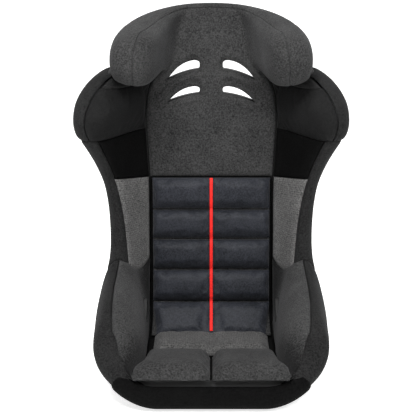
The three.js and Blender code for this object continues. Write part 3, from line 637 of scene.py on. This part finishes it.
def slot_tools(grow):
    """The four shoulder slots, through the head and the back."""
    outlines = [harness_outline(row, grow) for row in SLOT_ROWS]
    outlines += [outline * [-1, 1] for outline in outlines]
    return [prism(outline, in_xz, SLOT_FROM_Y, SLOT_TO_Y) for outline in outlines]


def lap_tools(grow, signs=(1, -1)):
    return [prism(lap_outline(grow), in_yz, sign * LAP["from"], sign * LAP["to"]) for sign in signs]


def crotch_tools(grow):
    return [prism(crotch_outline(grow), in_xy, CROTCH["from"], CROTCH["to"])]


def carve_pair(pair, grow):
    for piece, sign in zip(pair, (1, -1)):
        carve(piece, lap_tools(grow, [sign]))
    return pair


CLOTH_FRAMES = 20


def inflate(points, pin, pressure, cap, excess):
    """Cloth pass on a grid of points in mm: held where pin is 1, blown outwards elsewhere."""
    rows, cols = points.shape[:2]
    rest = points.reshape(-1, 3)
    mesh = bpy.data.meshes.new("cloth_pass")
    mesh.from_pydata((rest * MM).tolist(), [], grid_faces(rows, cols).tolist())
    piece = bpy.data.objects.new("cloth_pass", mesh)
    bpy.context.collection.objects.link(piece)
    group = piece.vertex_groups.new(name="held")
    for index, weight in enumerate(pin.ravel()):
        if weight > 0:
            group.add([index], float(weight), "REPLACE")
    modifier = piece.modifiers.new("cloth", "CLOTH")
    settings = modifier.settings
    settings.quality = 6
    settings.vertex_group_mass = "held"
    settings.use_pressure = True
    settings.uniform_pressure_force = pressure
    settings.shrink_min = -excess
    settings.bending_stiffness = 0.4
    settings.effector_weights.gravity = 0
    modifier.point_cache.frame_start = 1
    modifier.point_cache.frame_end = CLOTH_FRAMES
    scene = bpy.context.scene
    for number in range(1, CLOTH_FRAMES + 1):
        scene.frame_set(number)
    result = piece.evaluated_get(bpy.context.evaluated_depsgraph_get())
    moved = np.zeros(len(rest) * 3)
    result.data.vertices.foreach_get("co", moved)
    bpy.data.objects.remove(piece)
    bpy.data.meshes.remove(mesh)
    scene.frame_set(1)
    shift = moved.reshape(-1, 3) / MM - rest
    size = np.linalg.norm(shift, axis=1, keepdims=True)
    shift *= np.minimum(1, cap / np.maximum(size, 1e-9))
    return (rest + shift).reshape(points.shape)


# ---- shell ----
SHELL_SINK = 6.6
SHELL_SKIN = 4.0
SHELL_FROM = 0.25
SHELL_TO = 27.75
SLOT_GROW = TRIM_WALL + 0.6
LAP_GROW = TRIM_WALL + 0.4


def shell_sink(t, c):
    """How far the shell lies below the body surface: less where no cover hides it."""
    side = smooth((np.minimum(c, 10 - c) - WRAP_SIDE) / 0.2)
    front = smooth((t - T_APRON) / 0.8)
    top = smooth((T_WRAP_BACK - t) / 0.5)
    return SHELL_SINK * (1 - side * front * top)


shell_t, shell_c = patch(SHELL_FROM, SHELL_TO, SHELL_RIM, 10 - SHELL_RIM, 7.0)
shell_depth = shell_sink(shell_t, shell_c)[..., None]
shell_points = body(shell_t, shell_c) - outward(shell_t, shell_c) * shell_depth
carve(build("shell_fine", Sheet(shell_points), "gelcoat", ["shell"], SHELL_SKIN),
      slot_tools(SLOT_GROW) + lap_tools(LAP_GROW) + crotch_tools(LAP_GROW))


# ---- liners of the openings ----
def liner(outer, inner, place, low, high):
    """A tube between two outlines; place turns outline points and a depth into 3-D."""
    rings = [place(outer, low), place(outer, high), place(inner, high), place(inner, low)]
    rings.append(rings[0])
    points = np.stack(rings)
    return Sheet(np.concatenate([points, points[:, :1]], 1))


TRIM_FRONT = {"upper": 243.0, "lower": 234.0}
TRIM_DEPTH = 46
for row, front in TRIM_FRONT.items():
    ring = liner(harness_outline(row, TRIM_WALL), harness_outline(row, 0),
                 in_xz, front, front + TRIM_DEPTH)
    build_pair(f"harness_slot_trim_{row}", ring, "trim", thickness=0, weld=True)
lap_ring = liner(lap_outline(TRIM_WALL), lap_outline(0), in_yz, LAP["trim_from"], LAP["trim_to"])
build_pair("lap_belt_slot_trim", lap_ring, "trim", thickness=0)
crotch_ring = liner(crotch_outline(TRIM_WALL), crotch_outline(0),
                    in_xy, CROTCH["trim_from"], CROTCH["trim_to"])
build("crotch_slot_trim_fine", crotch_ring, "trim", ["crotch_slot_trim"], 0)


# ---- foam under the covers ----
FOAM_COLUMNS = 14
FOAM_SPACING = 9.0
FOAM_UNDER_COVER = 9.0
FOAM_OVER_SHELL = 9.2
T_PAN_FOAM = 1
T_THIGH_FOAM = 3.6
T_WING_FOAM = 23
T_FOAM_TOP = 26.5


def foam(t0, t1, inner, outer):
    """A foam block between the covers and the shell, as a tube closed at both ends."""
    rows = even(t0, t1, along_at(inner[1]), FOAM_SPACING)
    cols_in = np.linspace(*inner, FOAM_COLUMNS)
    cols_out = np.linspace(*outer, FOAM_COLUMNS)
    loops = []
    for place in rows:
        t = np.full(FOAM_COLUMNS, place)
        high = body(t, cols_in) - outward(t, cols_in) * FOAM_UNDER_COVER
        deep = FOAM_OVER_SHELL + shell_sink(t, cols_out)
        low = body(t, cols_out) - outward(t, cols_out) * deep[:, None]
        ring = np.vstack([high, low])
        loops.append(np.vstack([ring, ring[:1]]))
    points = np.stack(loops)
    ends = [np.broadcast_to(points[k].mean(0), points[k].shape)[None] for k in (0, -1)]
    return Sheet(np.concatenate([ends[0], points, ends[1]]))


SIDE_FOAMS = {"thigh_foam": (T_THIGH_FOAM, T_WAIST), "side_foam": (T_WAIST, T_SHOULDER),
              "shoulder_foam": (T_SHOULDER, T_PAD_TOP), "head_wing_foam": (T_WING_FOAM, T_FOAM_TOP)}
for name, (low, high) in SIDE_FOAMS.items():
    block = foam(low + T_GAP, high - T_GAP, (1.15, C_INSERT_EDGE), (2.55, WRAP_FRONT))
    pair = build_pair(name, block, "foam", thickness=0, weld=True)
    if name in ("thigh_foam", "side_foam"):
        carve_pair(pair, LAP_GROW)
MIDDLE_FOAMS = {"pan_foam": (T_PAN_FOAM, T_CUSHION_LOW), "back_foam": (T_CUSHION_LOW, T_CUSHION_TOP),
                "head_foam": (T_CUSHION_TOP, T_FOAM_TOP)}
for name, (low, high) in MIDDLE_FOAMS.items():
    block = foam(low + T_GAP, high - T_GAP, (-0.95, 0.95), (4.05, 5.95))
    piece = build(f"{name}_fine", block, "foam", [name], 0, weld=True)
    if name == "head_foam":
        carve(piece, slot_tools(SLOT_GROW))
    if name == "pan_foam":
        carve(piece, crotch_tools(LAP_GROW))

# ---- linings ----
C_MID = 1 - C_GAP
# painted shade: the linings use the darkest copy of the knit
lining = cover(*patch(T_FRONT_EDGE, T_CUSHION_LOW - T_GAP, -C_MID, C_MID, 6.0), "btlr", proud=0.4)
carve(build("pan_lining_fine", lining, "knit_painted_deep_shade", ["pan_lining"]), crotch_tools(LAP_GROW))
build("back_lining_fine",
      cover(*patch(T_CUSHION_LOW + T_GAP, T_CUSHION_TOP - T_GAP, -C_MID, C_MID, 6.0), "btlr", proud=0.4),
      "knit_painted_deep_shade", ["back_lining"])

# ---- upper back and head, one piece of cloth with the slots ----
FINE = 3.4
T_SLOTS = 20.0
T_WINGS = 24.5
middle_c = even(-C_MID, C_MID, across_at(T_SLOTS), FINE)
wing_c = even(C_MID, 2 - C_GAP, across_at(T_WINGS), 4.0)[1:]
head_c = np.concatenate([-wing_c[::-1], middle_c, wing_c])
back_t = even(T_CUSHION_TOP + T_GAP, T_NOTCH, along_at(0), FINE)
head_t = even(T_NOTCH, LAST, along_at(0), FINE)

SLOT_AREA = {"x": 140, "low_z": 580, "high_z": 740}
SLOT_EDGE = 0.6
TURN_IN = 4.5
TURN_WIDTH = 5.0
SWELL = 2.2
SWELL_AT = 13
SWELL_WIDTH = 8.0
# the ridge of cloth between an upper and a lower slot: x and z of its middle line
BAND = np.array([[26, 667], [54, 668.5], [80, 658], [108, 641], [126, 622]], float)
RIDGE = 4.5
RIDGE_WIDTH = 5.5
DITCH = 3.5
DITCH_AT = 11
DITCH_WIDTH = 3.5
CREASE_WIDTH = 0.16
CREASE_PASSES = 30


def slot_relief(points):
    """Height of the cloth round the slots: it turns in at their edges, with a ridge between."""
    x, z = np.abs(points[..., 0]), points[..., 2]
    flat = np.stack([x, z], -1).reshape(-1, 2)
    gap = np.full(len(flat), 1e3)
    tall = (flat[:, 1] > SLOT_AREA["low_z"]) & (flat[:, 1] < SLOT_AREA["high_z"])
    near = tall & (flat[:, 0] < SLOT_AREA["x"])
    for row in SLOT_ROWS:
        gap[near] = np.minimum(gap[near], distance_to(harness_outline(row, SLOT_EDGE), flat[near]))
    turn_in = -TURN_IN * np.exp(-(gap / TURN_WIDTH) ** 1.5)
    swell = SWELL * np.exp(-((gap - SWELL_AT) / SWELL_WIDTH) ** 2)
    off = z - np.interp(x, BAND[:, 0], BAND[:, 1])
    ridge = RIDGE * np.exp(-(off / RIDGE_WIDTH) ** 2)
    ditch = DITCH * np.exp(-((np.abs(off) - DITCH_AT) / DITCH_WIDTH) ** 2)
    ends = smooth((x - 20) / 12) * smooth((142 - x) / 22)
    return (turn_in + swell).reshape(x.shape) + (ridge - ditch) * ends


def head_cloth():
    """The cloth over the upper back and, wider, over the head and both wings."""
    low_t, low_c = np.meshgrid(back_t, middle_c, indexing="ij")
    low_flat = body(low_t, low_c)
    low_seams = edge_distance(low_flat, "blr")
    low_height = roll(low_seams, SEAM_DIP, COVER_PROUD) + slot_relief(low_flat)
    high_t, high_c = np.meshgrid(head_t, head_c, indexing="ij")
    high_flat = body(high_t, high_c)
    across = lengths(high_flat, 1)
    first = len(wing_c)
    last = len(head_c) - len(wing_c) - 1
    to_wing = np.clip(np.minimum(across - across[:, [first]], across[:, [last]] - across), 0, None)
    notch = np.hypot(lengths(high_flat, 0), to_wing)
    high_seams = np.minimum(edge_distance(high_flat, "tlr"), notch)
    high_height = roll(high_seams, SEAM_DIP, COVER_PROUD) + slot_relief(high_flat)
    low = low_flat + outward(low_t, low_c) * low_height[..., None]
    high = high_flat + outward(high_t, high_c) * high_height[..., None]
    high[0, first:last + 1] = low[-1]
    crease = np.exp(-((np.abs(high_c) - 1) / CREASE_WIDTH) ** 2) * smooth((high_t - T_NOTCH) / 0.8)
    high = relax(high, CREASE_PASSES, crease)
    middle = [len(head_c) // 2]
    uv_low = np.stack([low_flat[..., 0], lengths(low_flat, 0)[:, [0]] + 0 * low_c], -1)
    uv_high = np.stack([across - across[:, middle],
                        lengths(high_flat, 0)[:, middle] + uv_low[-1, 0, 1] + 0 * high_c], -1)
    return Sheet(low, uv_low).join(Sheet(high, uv_high))


carve(build("head_cloth_fine", head_cloth(), "knit", ["upper_back_panel", "head_panel"], weld=True),
      slot_tools(SLOT_EDGE))

# ---- strips that close the cut ends of the body ----
CAP_ROWS = 8
CAP_CROWN = 0.3
CAP_MOST = 9.0
CAP_SINK = 1.6
CAP_STEP = 0.2
PARTNER_STEPS = 120


def partner(outer_c, outer_end, inner_end, t_outer, t_inner):
    """Places on the inner edge that face places on the outer edge, counted from the crest."""
    outer = np.linspace(2, outer_end, PARTNER_STEPS)
    inner = np.linspace(2, inner_end, PARTNER_STEPS)
    outer_run = lengths(across_at(t_outer)(outer), 0)
    inner_run = lengths(across_at(t_inner)(inner), 0)
    place = np.interp(outer_c, outer, outer_run / outer_run[-1])
    return np.interp(place, inner_run / inner_run[-1], inner)


def bridge(inner_edge, outer_edge, way):
    """Rows of a crowned strip from the inner edge up to the outer one; way points out of it."""
    gap = np.linalg.norm(outer_edge - inner_edge, axis=1, keepdims=True)
    rise = way * np.minimum(gap * CAP_CROWN, CAP_MOST)
    return [mix(inner_edge, outer_edge, f) + rise * math.sin(math.pi * f)
            for f in np.linspace(0, 1, CAP_ROWS + 1)[:-1]]


# ---- side covers ----
C_FOOT = 1 + C_GAP
T_SEAM = 0.02
T_THIGH_MIDDLE = 6.0
T_INSERT_MIDDLE = 13.0
THIGH_ROWS = 110
INSERT_ROWS = 56
C_TOP_COVER = 1.97


def insert_low(c):
    """The slanted seam between the thigh cover and the insert."""
    return mix(T_INSERT_FOOT, T_WAIST, np.minimum((c - 1) / (C_INSERT_EDGE - 1), 1))


def insert_edge(t):
    """Outer edge of the insert: it narrows downwards."""
    return mix(C_INSERT_LOW, C_INSERT_EDGE, smooth((t - T_WAIST) / (T_CUSHION_TOP - T_WAIST)))


def between(low, high, cols, rows):
    """A grid whose first and last rows are functions of c."""
    c = np.broadcast_to(cols, (rows, len(cols)))
    share = np.linspace(0, 1, rows)[:, None]
    return mix(low(c), high(c), share), c.copy()


def inner_thigh():
    cols = even(C_FOOT, 2 - C_GAP, across_at(T_THIGH_MIDDLE), 4.5)
    t, c = between(lambda c: T_FRONT_EDGE + 0 * c, lambda c: insert_low(c) - T_SEAM, cols, THIGH_ROWS)
    return cover(t, c, "btlr")


def side_insert():
    cols = even(C_FOOT, C_INSERT_EDGE - C_GAP, across_at(T_INSERT_MIDDLE), 4.0)
    t, c = between(lambda c: insert_low(c) + T_SEAM, lambda c: T_CUSHION_TOP - T_GAP + 0 * c,
                   cols, INSERT_ROWS)
    c = C_FOOT + (c - C_FOOT) * (insert_edge(t) - 1) / (C_INSERT_EDGE - 1)
    return cover(t, c, "btlr", dip=2.4, proud=0.8)


def outer_thigh():
    """The outer thigh cover: a hem on the outside, and a front edge that closes the bolster's end."""
    t, share = patch(T_OUTER_EDGE, T_WAIST - T_GAP, 2 + C_GAP, WRAP_SIDE)
    hem = mix(WRAP_FRONT, WRAP_SIDE, smooth((t - T_WRAP_TURN) / (T_APRON - T_WRAP_TURN)))
    c = np.where(share <= 3, share, mix(3, hem, (share - 3) / (WRAP_SIDE - 3)))
    points = cover(t, c, "tlr").points.reshape(*t.shape, 3)
    inner_t = np.full(t.shape[1], T_FRONT_EDGE)
    inner_c = partner(c[0], WRAP_FRONT, 1, T_OUTER_EDGE, T_FRONT_EDGE)
    inner_edge = body(inner_t, inner_c) - outward(inner_t, inner_c) * CAP_SINK
    forward = unit(body(t[0], c[0]) - body(t[0] + CAP_STEP, c[0]))
    cap = np.stack(bridge(inner_edge, points[0], forward))
    return Sheet(relax(np.concatenate([cap, points]), 3))


def waist_rim():
    """The cover over the waist's rim; its inner edge follows the insert."""
    t, c = patch(T_WAIST + T_GAP, T_SHOULDER - T_GAP, C_INSERT_EDGE, WRAP_SIDE)
    pulled = 2 - (2 - c) * (2 - insert_edge(t)) / (2 - C_INSERT_EDGE)
    return cover(t, np.where(c < 2, pulled, c), "btlr")


side_place = patch(T_CUSHION_TOP + T_GAP, T_SHOULDER - T_GAP, C_FOOT, C_INSERT_EDGE - C_GAP, 4.5)
rim_place = patch(T_SHOULDER + T_GAP, T_NOTCH, 2 + C_GAP, WRAP_SIDE, 4.5)
top_place = patch(T_PAD_TOP + T_GAP, T_NOTCH, C_FOOT, C_TOP_COVER, 4.0)
carve_pair(build_pair("thigh_cover_inner", inner_thigh(), "knit_thigh"), LAP_GROW)
build_pair("side_insert", side_insert(), "grey_mesh")
# painted shade: the outer thigh, waist rim, shoulder rim and shoulder top covers use the darker copy of
# the knit
carve_pair(build_pair("thigh_cover_outer", outer_thigh(), "knit_painted_shade"), LAP_GROW)
build_pair("waist_rim_cover", waist_rim(), "knit_painted_shade")
# painted shade: the side panels use the darkest copy of the knit
build_pair("side_panel", cover(*side_place, "btlr"), "knit_painted_deep_shade")
build_pair("shoulder_rim_cover", cover(*rim_place, "btlr"), "knit_painted_shade")
build_pair("shoulder_top_cover", cover(*top_place, "blr", proud=0.6), "knit_painted_shade")
C_APRON = 3.45             # the apron's sides are tucked under the thigh covers
apron_place = patch(T_OUTER_EDGE, T_APRON, C_APRON, 10 - C_APRON)
# painted shade: the apron under the front edge uses the darkest copy of the knit
build("front_apron_fine", cover(*apron_place, "blr", dip=3.4), "knit_painted_deep_shade", ["front_apron"])

# ---- the stuffed shoulder pads ----
PAD_DIP = 2.5
PAD_PROUD = 11
PAD_SLOPE = 20.0
pad_t, pad_c = patch(T_SHOULDER + T_GAP, T_PAD_TOP - T_GAP, C_FOOT, 2 - C_GAP, 4.0)
pad_flat = body(pad_t, pad_c)
pad_edge = edge_distance(pad_flat, "btlr")
pad_height = roll(pad_edge, PAD_DIP, PAD_PROUD, PAD_SLOPE)
pad_points = pad_flat + outward(pad_t, pad_c) * pad_height[..., None]
pad_points = inflate(pad_points, (pad_edge < 1).astype(float), pressure=3.0, cap=6.0, excess=0.03)
for piece in build_pair("shoulder_pad", Sheet(relax(pad_points, 2)), "shoulder_knit"):
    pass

# ---- the head's rim cover ----
CORNER_ROWS = 8
C_WING_RIM = 2.6
T_TOP_RIM = 27.5


def head_rim():
    """One wing, the top and the other wing; over the top the cloth turns down to the head panel."""
    wing_rows = even(T_NOTCH, T_WRAP_BACK, along_at(C_WING_RIM), 4.5)
    cols = even(2 + C_GAP, WRAP_SIDE, across_at(T_WINGS), 4.5)
    ends = np.linspace(LAST, T_WRAP_BACK, len(cols))
    rows = [(np.full(len(cols), t), cols) for t in wing_rows]
    for f in np.linspace(0, 1, CORNER_ROWS + 1)[1:]:
        rows.append((mix(T_WRAP_BACK, ends, f), cols))
    for f in np.linspace(0, 1, CORNER_ROWS + 1)[1:]:
        rows.append((ends, mix(cols, WRAP_SIDE, f)))
    for c in even(WRAP_SIDE, 5.0, across_at(T_TOP_RIM), 5.0)[1:]:
        rows.append((ends, np.full(len(cols), c)))
    rows += [(t, 10 - c) for t, c in reversed(rows[:-1])]
    t = np.array([row[0] for row in rows])
    c = np.array([row[1] for row in rows])
    flat = body(t, c)
    proud = roll(edge_distance(flat, "btr"), SEAM_DIP, COVER_PROUD)
    points = flat + outward(t, c) * proud[..., None]
    edge_c = np.minimum(c[:, 0], 10 - c[:, 0])
    on_top = t[:, 0] > LAST - 1e-6
    facing = partner(edge_c, 5, 0, LAST, LAST)
    inner_c = np.where(on_top, facing, 2 - C_GAP) * np.where(c[:, 0] > 5, -1.0, 1.0)
    inner_t = t[:, 0]
    inner_edge = body(inner_t, inner_c) - outward(inner_t, inner_c) * CAP_SINK
    up = unit(body(inner_t, c[:, 0]) - body(inner_t - CAP_STEP, c[:, 0])) * on_top[:, None]
    cap = np.stack(bridge(inner_edge, points[:, 0], up), 1)
    return Sheet(relax(np.concatenate([cap, points], 1), 3))


build("head_rim_cover_fine", head_rim(), "knit", ["head_rim_cover"])

# ---- back cushion ----
BACK_HALF = 0.955
CHANNEL_EDGES = [15.2, 14, 13, 12, 10.7, T_CUSHION_LOW]
LINING_LIFT = 2.4
BOARD = 4.0
CHANNEL_BASE = LINING_LIFT + BOARD + 1.8
CHANNEL_RISE = 27.0 - 8.2
CHANNEL_GAP = 0.03
GROOVE_SHARE = 6.5 / 18
GROOVE_HALF = 7.5

T_BOARD_GAP = 0.05
board_t, board_c = patch(T_CUSHION_LOW + T_BOARD_GAP, T_CUSHION_TOP - T_BOARD_GAP,
                         -BACK_HALF, BACK_HALF, 9.0)
board_points = body(board_t, board_c) + outward(board_t, board_c) * (LINING_LIFT + BOARD)
build("back_cushion_board_fine", Sheet(board_points), "knit", ["back_cushion_board"], BOARD)


def cushion_half(t):
    """Half width of the back cushion in c: it narrows towards the seat."""
    return mix(0.88, BACK_HALF, smooth((t - T_CUSHION_LOW) / 2.4))


def channel_height(u, x, half):
    """Height of a stuffed channel above the lining; u runs up it, x across it in mm."""
    groove = 1 - GROOVE_SHARE * np.exp(-(np.abs(x) / GROOVE_HALF) ** 4)
    sag = 1 + 0.05 * np.sin(np.abs(x) / half * math.pi)
    return CHANNEL_BASE + CHANNEL_RISE * dome(2 * u - 1, 3.0) * dome(x / half, 14) * groove * sag


def held_edges(u, v, x, half):
    """Where a cushion is sewn down: at its edges and along the groove down its middle."""
    edges = (u < 0.01) | (u > 0.99) | (np.abs(v) > 0.995)
    return (edges | (np.abs(x) < half)).astype(float)


def back_channel(low, high):
    """A stuffed channel of the back cushion between two of its seams."""
    u, v = np.meshgrid(eased(25), eased_both(71, 1.15), indexing="ij")
    t = mix(low + CHANNEL_GAP, high - CHANNEL_GAP, u)
    c = v * cushion_half(t)
    half = np.abs(body(t, cushion_half(t))[..., 0])
    x = v * half
    points = body(t, c) + outward(t, c) * channel_height(u, x, half)[..., None]
    points = inflate(points, held_edges(u, v, x, 7), pressure=3.0, cap=3.0, excess=0.05)
    return Sheet(relax(points, 1))


for number, (high, low) in enumerate(zip(CHANNEL_EDGES[:-1], CHANNEL_EDGES[1:]), 1):
    piece = build(f"back_channel_{number}_fine", back_channel(low, high), "channel_cloth",
                  [f"back_channel_{number}"], 1.6)

STRIPE_HALF = 3.9
STRIPE_LEAST = 14.0
STRIPE_PROUD = 2.4
STRIPE_CROWN = 0.5


def centre_stripe():
    """The tape down the middle: it follows the channels, bridging the seams between them."""
    rows = np.linspace(T_CUSHION_LOW + 0.1, T_CUSHION_TOP - 0.03, 240)
    edges = np.array(CHANNEL_EDGES[::-1])
    which = np.clip(np.searchsorted(edges, rows) - 1, 0, len(edges) - 2)
    u = (rows - edges[which]) / (edges[which + 1] - edges[which])
    high = np.maximum(channel_height(u, np.zeros_like(u), 1.0), STRIPE_LEAST) + STRIPE_PROUD
    for _ in range(4):
        high[1:-1] = (high[:-2] + 2 * high[1:-1] + high[2:]) / 4
    t, side = np.meshgrid(rows, np.linspace(-1, 1, 5), indexing="ij")
    c = side * STRIPE_HALF / station(t)["foot"]
    height = high[:, None] + STRIPE_CROWN * (1 - side ** 2)
    return Sheet(body(t, c) + outward(t, c) * height[..., None])


build("centre_stripe_fine", centre_stripe(), "red_tape", ["centre_stripe"], 1.4)

# ---- seat cushion ----
T_STRIP_FRONT = 6.03
T_STRIP_REAR = T_CUSHION_LOW - 0.06
STRIP_HALF = 0.9
STRIP_BASE = LINING_LIFT + 0.6
STRIP_RISE = 22.0


def seat_strip():
    """The mesh strip at the back of the seat, with a shallow groove down its middle."""
    u, v = np.meshgrid(eased(33), eased_both(67, 1.2), indexing="ij")
    t = mix(T_STRIP_FRONT, T_STRIP_REAR, u)
    c = v * STRIP_HALF
    x = body(t, c)[..., 0]
    groove = 1 - 0.22 * np.exp(-(np.abs(x) / 5.0) ** 1.6)
    height = STRIP_BASE + STRIP_RISE * dome(2 * u - 1, 9) * dome(v, 12) * groove
    points = body(t, c) + outward(t, c) * height[..., None]
    points = inflate(points, held_edges(u, v, x, 2), pressure=2.5, cap=4.0, excess=0.03)
    return Sheet(relax(points, 1))


strip = build("seat_cushion_rear_fine", seat_strip(), "grey_seat", ["seat_cushion_rear"], 1.6)

FRONT_PAD = np.array([     # y, half width, and height of the top and of the foot
    [-88, 147, 70, 51], [-120, 148, 78, 55.5], [-160, 149, 86, 62], [-200, 153, 92, 70],
    [-240, 160, 99, 78.5], [-272, 165, 104, 84], [-294, 166, 102, 84], [-306, 163, 92, 80],
], float)
NOTCH_HALF = 2.5
PAD_SPREAD = 5.0           # the stuffed pad bulges past its solid
PAD_RISE = 2


def front_pad():
    """Half of the front cushion: crowned, and rolled over the front edge."""
    table = FRONT_PAD[::-1]
    places = mix(table[0, 0], table[-1, 0], eased(46))
    half, high, low = (np.interp(places, table[:, 0], table[:, k]) for k in (1, 2, 3))
    share = eased(45)
    run = (places - places[0]) / (places[-1] - places[0])
    ends = dome(1 - run, 14) * dome(run, 18)
    sides = dome(2 * share - 1, 7)
    height = low[:, None] + (high - low + PAD_RISE)[:, None] * ends[:, None] * sides[None]
    x = mix(NOTCH_HALF, half[:, None] + PAD_SPREAD, share[None])
    y = np.broadcast_to(places[:, None], x.shape)
    points = np.stack([x, y, height], -1)
    held = np.zeros(x.shape)
    held[[0, -1]] = 1
    held[:, [0, -1]] = 1
    points = inflate(points, held, pressure=3.0, cap=5.0, excess=0.04)
    return Sheet(relax(points, 2))


for piece in build_pair("front_pad", front_pad(), "knit", thickness=2.0):
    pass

# ---- solid pieces kept as they are ----
KEPT = {"side_mount_boss": "gelcoat", "mount_insert": "steel", "back_hook_tape": "hook_tape"}
for name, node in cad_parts.items():
    for start, slot in KEPT.items():
        if name.startswith(start):
            node.data.materials.clear()
            node.data.materials.append(MATERIALS[slot])

# ---- floor, light and camera ----
FLOOR_FRONT = -40.0
FLOOR_HALF = 40.0
FLOOR_BACK = 5.0
FLOOR_TOP = 9.0
FLOOR_DROP = 0.0005
SWEEP = 2.5


def backdrop():
    """A pale floor that sweeps up behind the seat."""
    turns = np.linspace(0, math.pi / 2, 24)
    curve = [(FLOOR_FRONT, 0.0)]
    curve += [(FLOOR_BACK + SWEEP * math.sin(a), SWEEP * (1 - math.cos(a))) for a in turns]
    curve.append((FLOOR_BACK + SWEEP, FLOOR_TOP))
    verts = [(x, y, z - FLOOR_DROP) for y, z in curve for x in (-FLOOR_HALF, FLOOR_HALF)]
    faces = [(2 * k, 2 * k + 1, 2 * k + 3, 2 * k + 2) for k in range(len(curve) - 1)]
    mesh = bpy.data.meshes.new("floor")
    mesh.from_pydata(verts, [], faces)
    mesh.polygons.foreach_set("use_smooth", np.ones(len(faces), bool))
    n = Nodes("pale_floor")
    place = n.add("ShaderNodeTexCoord").outputs["Object"]
    n.link(n.ramp(n.noise(place, 3, 2.0), [(0.0, grey(0.93)), (1.0, grey(0.95))]),
           n.shader.inputs["Base Color"])
    n.set(Roughness=0.9, Specular_IOR_Level=0.1, Emission_Strength=0.7)
    n.shader.inputs["Emission Color"].default_value = (1, 1, 1, 1)
    mesh.materials.append(n.material)
    floor = bpy.data.objects.new("floor", mesh)
    bpy.context.collection.objects.link(floor)


def area_light(name, place, target, size, power):
    light = bpy.data.lights.new(name, "AREA")
    light.shape = "RECTANGLE"
    light.size, light.size_y = size
    light.energy = power
    lamp = bpy.data.objects.new(name, light)
    lamp.location = place
    lamp.rotation_euler = (Vector(target) - Vector(place)).to_track_quat("-Z", "Y").to_euler()
    bpy.context.collection.objects.link(lamp)


backdrop()
world = bpy.data.worlds.new("studio")
world.use_nodes = True
world.node_tree.nodes["Background"].inputs["Color"].default_value = (1, 1, 1, 1)
world.node_tree.nodes["Background"].inputs["Strength"].default_value = 0.25
bpy.context.scene.world = world
area_light("key", (-0.6, -1.9, 2.9), (0, 0, 0.5), (1.2, 0.9), 85)
area_light("fill", (0.9, -2.5, 2.1), (0, 0, 0.5), (1.2, 0.9), 42)
area_light("top", (0, -0.3, 2.8), (0, 0, 0.4), (1.0, 0.8), 35)

bpy.context.scene.view_settings.view_transform = "Standard"
camera_data = bpy.data.cameras.new("camera")
camera_data.lens = 98.64
camera_data.sensor_width = 36
camera_data.shift_x = -0.0077
camera_data.clip_end = 50
camera = bpy.data.objects.new("camera", camera_data)
camera.location = (0, -2.6, 0.9883)
camera.rotation_euler = (Vector((0, 0, 0.388)) - camera.location).to_track_quat("-Z", "Y").to_euler()
bpy.context.collection.objects.link(camera)
bpy.context.scene.camera = camera
